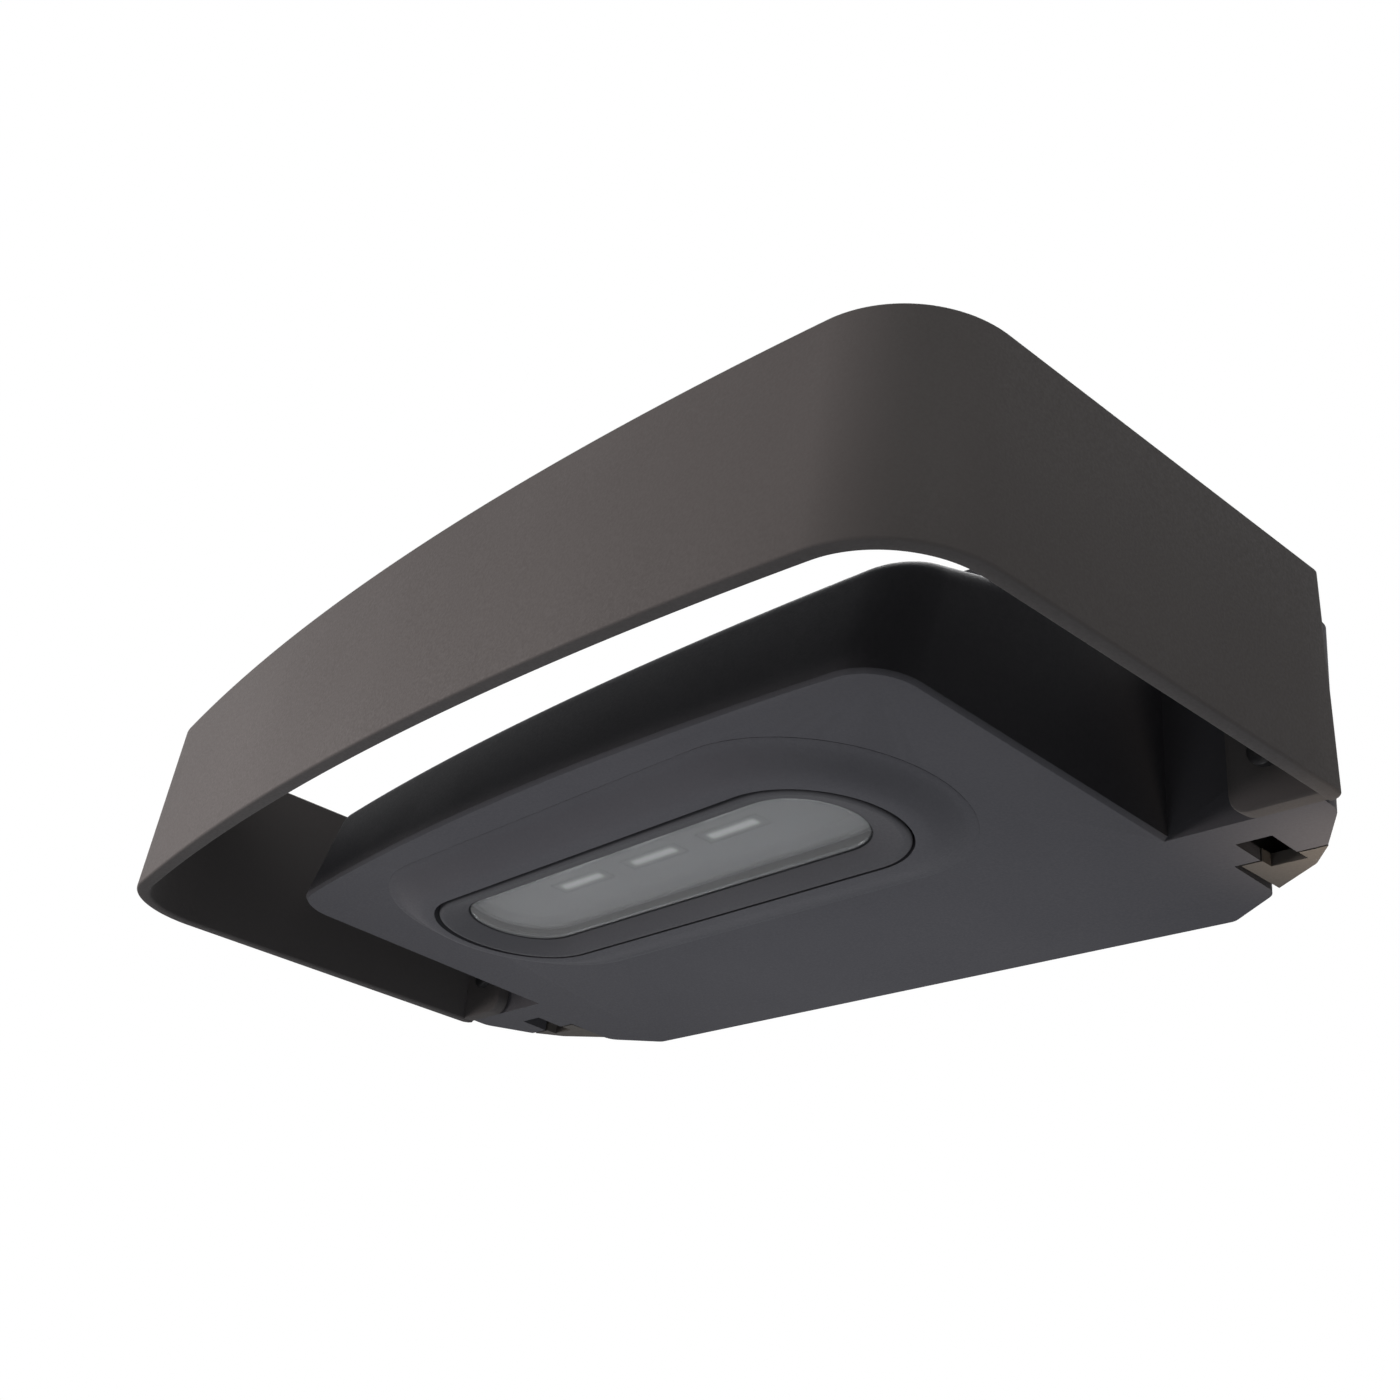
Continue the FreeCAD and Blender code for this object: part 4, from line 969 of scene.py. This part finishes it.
@dataclass
class Studio:
    """Camera at the photograph's place, soft lights, pale floor and white surround."""

    camera_place: Point = (0.3242, -0.3345, -0.2092)
    camera_aim: Point = (-0.0078, -0.0996, 0.0069)
    camera_roll: float = 8.96
    lens: float = 42.1
    shift: tuple[float, float] = (0.0263, -0.0094)
    floor_z: float = -0.42
    ambient: float = 0.036
    floor_glow: float = 0.62
    floor_colour: Colour = (0.30, 0.30, 0.30)
    floor_shade: Colour = (0.33, 0.33, 0.33)
    floor_drift: float = 3.0
    floor_roughness: float = 0.9
    floor_radii: tuple[float, ...] = (0.02, 0.6, 1.2, 2.5, 5.0)
    floor_corners: int = 96

    def camera(self) -> None:
        """Place the camera: look along the line to the aim, then roll about it."""
        data = bpy.data.cameras.new("camera")
        data.lens = self.lens
        data.shift_x, data.shift_y = self.shift
        data.clip_start = 0.01
        camera = bpy.data.objects.new("camera", data)
        bpy.context.scene.collection.objects.link(camera)
        ahead = (Vector(self.camera_aim) - Vector(self.camera_place)).normalized()
        level = ahead.cross(Vector((0, 0, 1))).normalized()
        above = level.cross(ahead)
        roll = math.radians(self.camera_roll)
        right = level * math.cos(roll) + above * math.sin(roll)
        up = right.cross(ahead)
        turn = Matrix((right, up, -ahead)).transposed().to_4x4()
        camera.matrix_world = Matrix.Translation(self.camera_place) @ turn
        bpy.context.scene.camera = camera

    def surround(self) -> None:
        """White world for the camera, reflections and glass, and a dimmer one for diffuse light."""
        world = bpy.data.worlds.new("surround")
        world.use_nodes = True
        tree = world.node_tree
        tree.nodes.clear()
        path = tree.nodes.new("ShaderNodeLightPath")
        seen = tree.nodes.new("ShaderNodeMath")
        seen.operation = "MAXIMUM"
        tree.links.new(path.outputs["Is Camera Ray"], seen.inputs[0])
        tree.links.new(path.outputs["Is Glossy Ray"], seen.inputs[1])
        either = tree.nodes.new("ShaderNodeMath")
        either.operation = "MAXIMUM"
        tree.links.new(seen.outputs[0], either.inputs[0])
        tree.links.new(path.outputs["Is Transmission Ray"], either.inputs[1])
        strength = tree.nodes.new("ShaderNodeMapRange")
        strength.inputs["To Min"].default_value = self.ambient
        strength.inputs["To Max"].default_value = 1.0
        tree.links.new(either.outputs[0], strength.inputs["Value"])
        back = tree.nodes.new("ShaderNodeBackground")
        back.inputs["Color"].default_value = (*WHITE, 1.0)
        tree.links.new(strength.outputs["Result"], back.inputs["Strength"])
        out = tree.nodes.new("ShaderNodeOutputWorld")
        tree.links.new(back.outputs["Background"], out.inputs["Surface"])
        bpy.context.scene.world = world

    def floor(self) -> None:
        """Round floor well below the light.

        A glow for the camera and for reflections makes it pale. Its own colour is darker, which
        keeps it from clipping to white in the view from above.
        """
        a = np.radians(np.linspace(0, 360, self.floor_corners, endpoint=False))
        ring = np.stack([np.cos(a), np.sin(a), 0 * a], 1)
        radii = np.array(self.floor_radii)
        points = (ring[None] * radii[:, None, None]).reshape(-1, 3) + np.array([0, 0, self.floor_z])
        faces = grid_faces(len(radii), len(a), False, True).tolist() + [list(range(len(a)))]
        mesh = bpy.data.meshes.new("floor")
        mesh.from_pydata(points.tolist(), [], faces)
        shader = Shader("floor_white")
        drift = shader.noise(self.floor_drift)
        shader.link(shader.tint(drift, self.floor_colour, self.floor_shade),
                    shader.surface.inputs["Base Color"])
        shader.set("Roughness", self.floor_roughness)
        shader.set("Emission Color", (*WHITE, 1.0))
        path = shader.add("ShaderNodeLightPath")
        seen = shader.add("ShaderNodeMath", operation="MAXIMUM")
        shader.link(path.outputs["Is Camera Ray"], seen.inputs[0])
        shader.link(path.outputs["Is Glossy Ray"], seen.inputs[1])
        shader.link(shader.span(seen.outputs[0], 0.0, self.floor_glow, (0.0, 1.0)),
                    shader.surface.inputs["Emission Strength"])
        dress(new_object("floor", mesh), shader.material)

    def build(self) -> None:
        """Set up everything round the light."""
        bpy.context.scene.view_settings.view_transform = "Standard"
        self.camera()
        self.surround()
        self.floor()
        for lamp in LAMPS:
            lamp.hang()


# ---- the whole light -------------------------------------------------------------------

SLOT_FINISH = {
    "seal": "seal", "glass": "glass", "reflector_white": "reflector", "board_white": "mask",
    "array_yellow": "phosphor", "heat_sheet": "sheet", "raw_aluminium": "steel",
    "screw_steel": "steel", "driver_shell": "steel", "brass": "brass", "plug_paint": "housing",
    "block_plastic": "nylon", "surge_plastic": "potting", "earth_green": "earth",
    "dark_paint": "housing", "band_paint": "band", "bezel_paint": "bezel",
}
NODE_FINISH = {"lens_seal": "clear_seal", "lens_retainer": "clear_seal"}
BAND_SCREW = Screw(radius=2.0, head_radius=3.6, head_height=2.4, grip=11.0, recess=2.5)


def make_finishes() -> dict[str, bpy.types.Material]:
    """Build every finish of the light.

    Returns:
        Materials by finish.
    """
    return {
        "housing": PowderCoat("housing_coat").make(),
        "band": PowderCoat("band_coat", colour=(0.045, 0.042, 0.042),
                           worn=(0.053, 0.05, 0.05)).make(),
        "bezel": PowderCoat("bezel_coat", colour=(0.047, 0.047, 0.052),
                            worn=(0.054, 0.054, 0.059)).make(),
        "glass": FrostedGlass("frosted_glass").make(),
        "steel": BareMetal("plated_steel").make(),
        # painted shade: the band screws are near black and dull, as they sit in the dark inside of the
        # band's ends
        "dark_steel": BareMetal("shaded_dark_steel", (0.030, 0.030, 0.031), (0.02, 0.02, 0.021),
                                roughness=(0.5, 0.65)).make(),
        # painted warm light: the back box's coat is lighter and warmer than the housing's, standing for
        # warm light on its ear
        "box": PowderCoat("warm_lit_box_coat", colour=(0.07, 0.065, 0.06), worn=(0.08, 0.074, 0.068)).make(),
        "clear_seal": Moulding("clear_silicone", (0.16, 0.16, 0.16), (0.14, 0.14, 0.145)).make(),
        "seal": Moulding("silicone", (0.02, 0.02, 0.022), (0.03, 0.03, 0.032)).make(),
        "reflector": Moulding("reflector_grey", (0.17, 0.17, 0.165), (0.15, 0.15, 0.145),
                              roughness=(0.45, 0.6)).make(),
        "mask": Moulding("board_mask", (0.17, 0.175, 0.165), (0.15, 0.155, 0.145)).make(),
        # painted highlight: the arrays' bars are near white, brighter than their bare emitter face
        "phosphor": ArrayFace("phosphor", (0.17, 0.175, 0.165), (0.93, 0.92, 0.88)).make(),
        "sheet": Moulding("thermal_sheet", (0.5, 0.5, 0.54), (0.45, 0.45, 0.5)).make(),
        "brass": BareMetal("turned_brass", (0.6, 0.42, 0.16), (0.5, 0.34, 0.12)).make(),
        "nylon": Moulding("nylon", (0.75, 0.75, 0.72), (0.68, 0.68, 0.65)).make(),
        "potting": Moulding("potted_case", (0.03, 0.03, 0.03), (0.05, 0.05, 0.05)).make(),
        "earth": Moulding("earth_green", (0.03, 0.2, 0.06), (0.04, 0.25, 0.08),
                          roughness=(0.3, 0.45)).make(),
    }


def main() -> None:
    """Build the light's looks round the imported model."""
    logging.basicConfig(level=logging.INFO, format="%(name)s %(message)s")
    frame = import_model()
    finishes = make_finishes()
    for row in frame["record"]["subparts"]:
        node = frame["nodes"][row["node"]]
        for slot in node.material_slots:
            finish = NODE_FINISH.get(row["node"], SLOT_FINISH[row["material_slot"]])
            slot.material = finishes[finish]
    HoodBand().build(finishes["band"], BAND_SCREW, finishes["dark_steel"])
    LensWindow().build(finishes)
    Castings().build(finishes["housing"], finishes["box"])
    Studio().build()


if __name__ == "__main__":
    main()
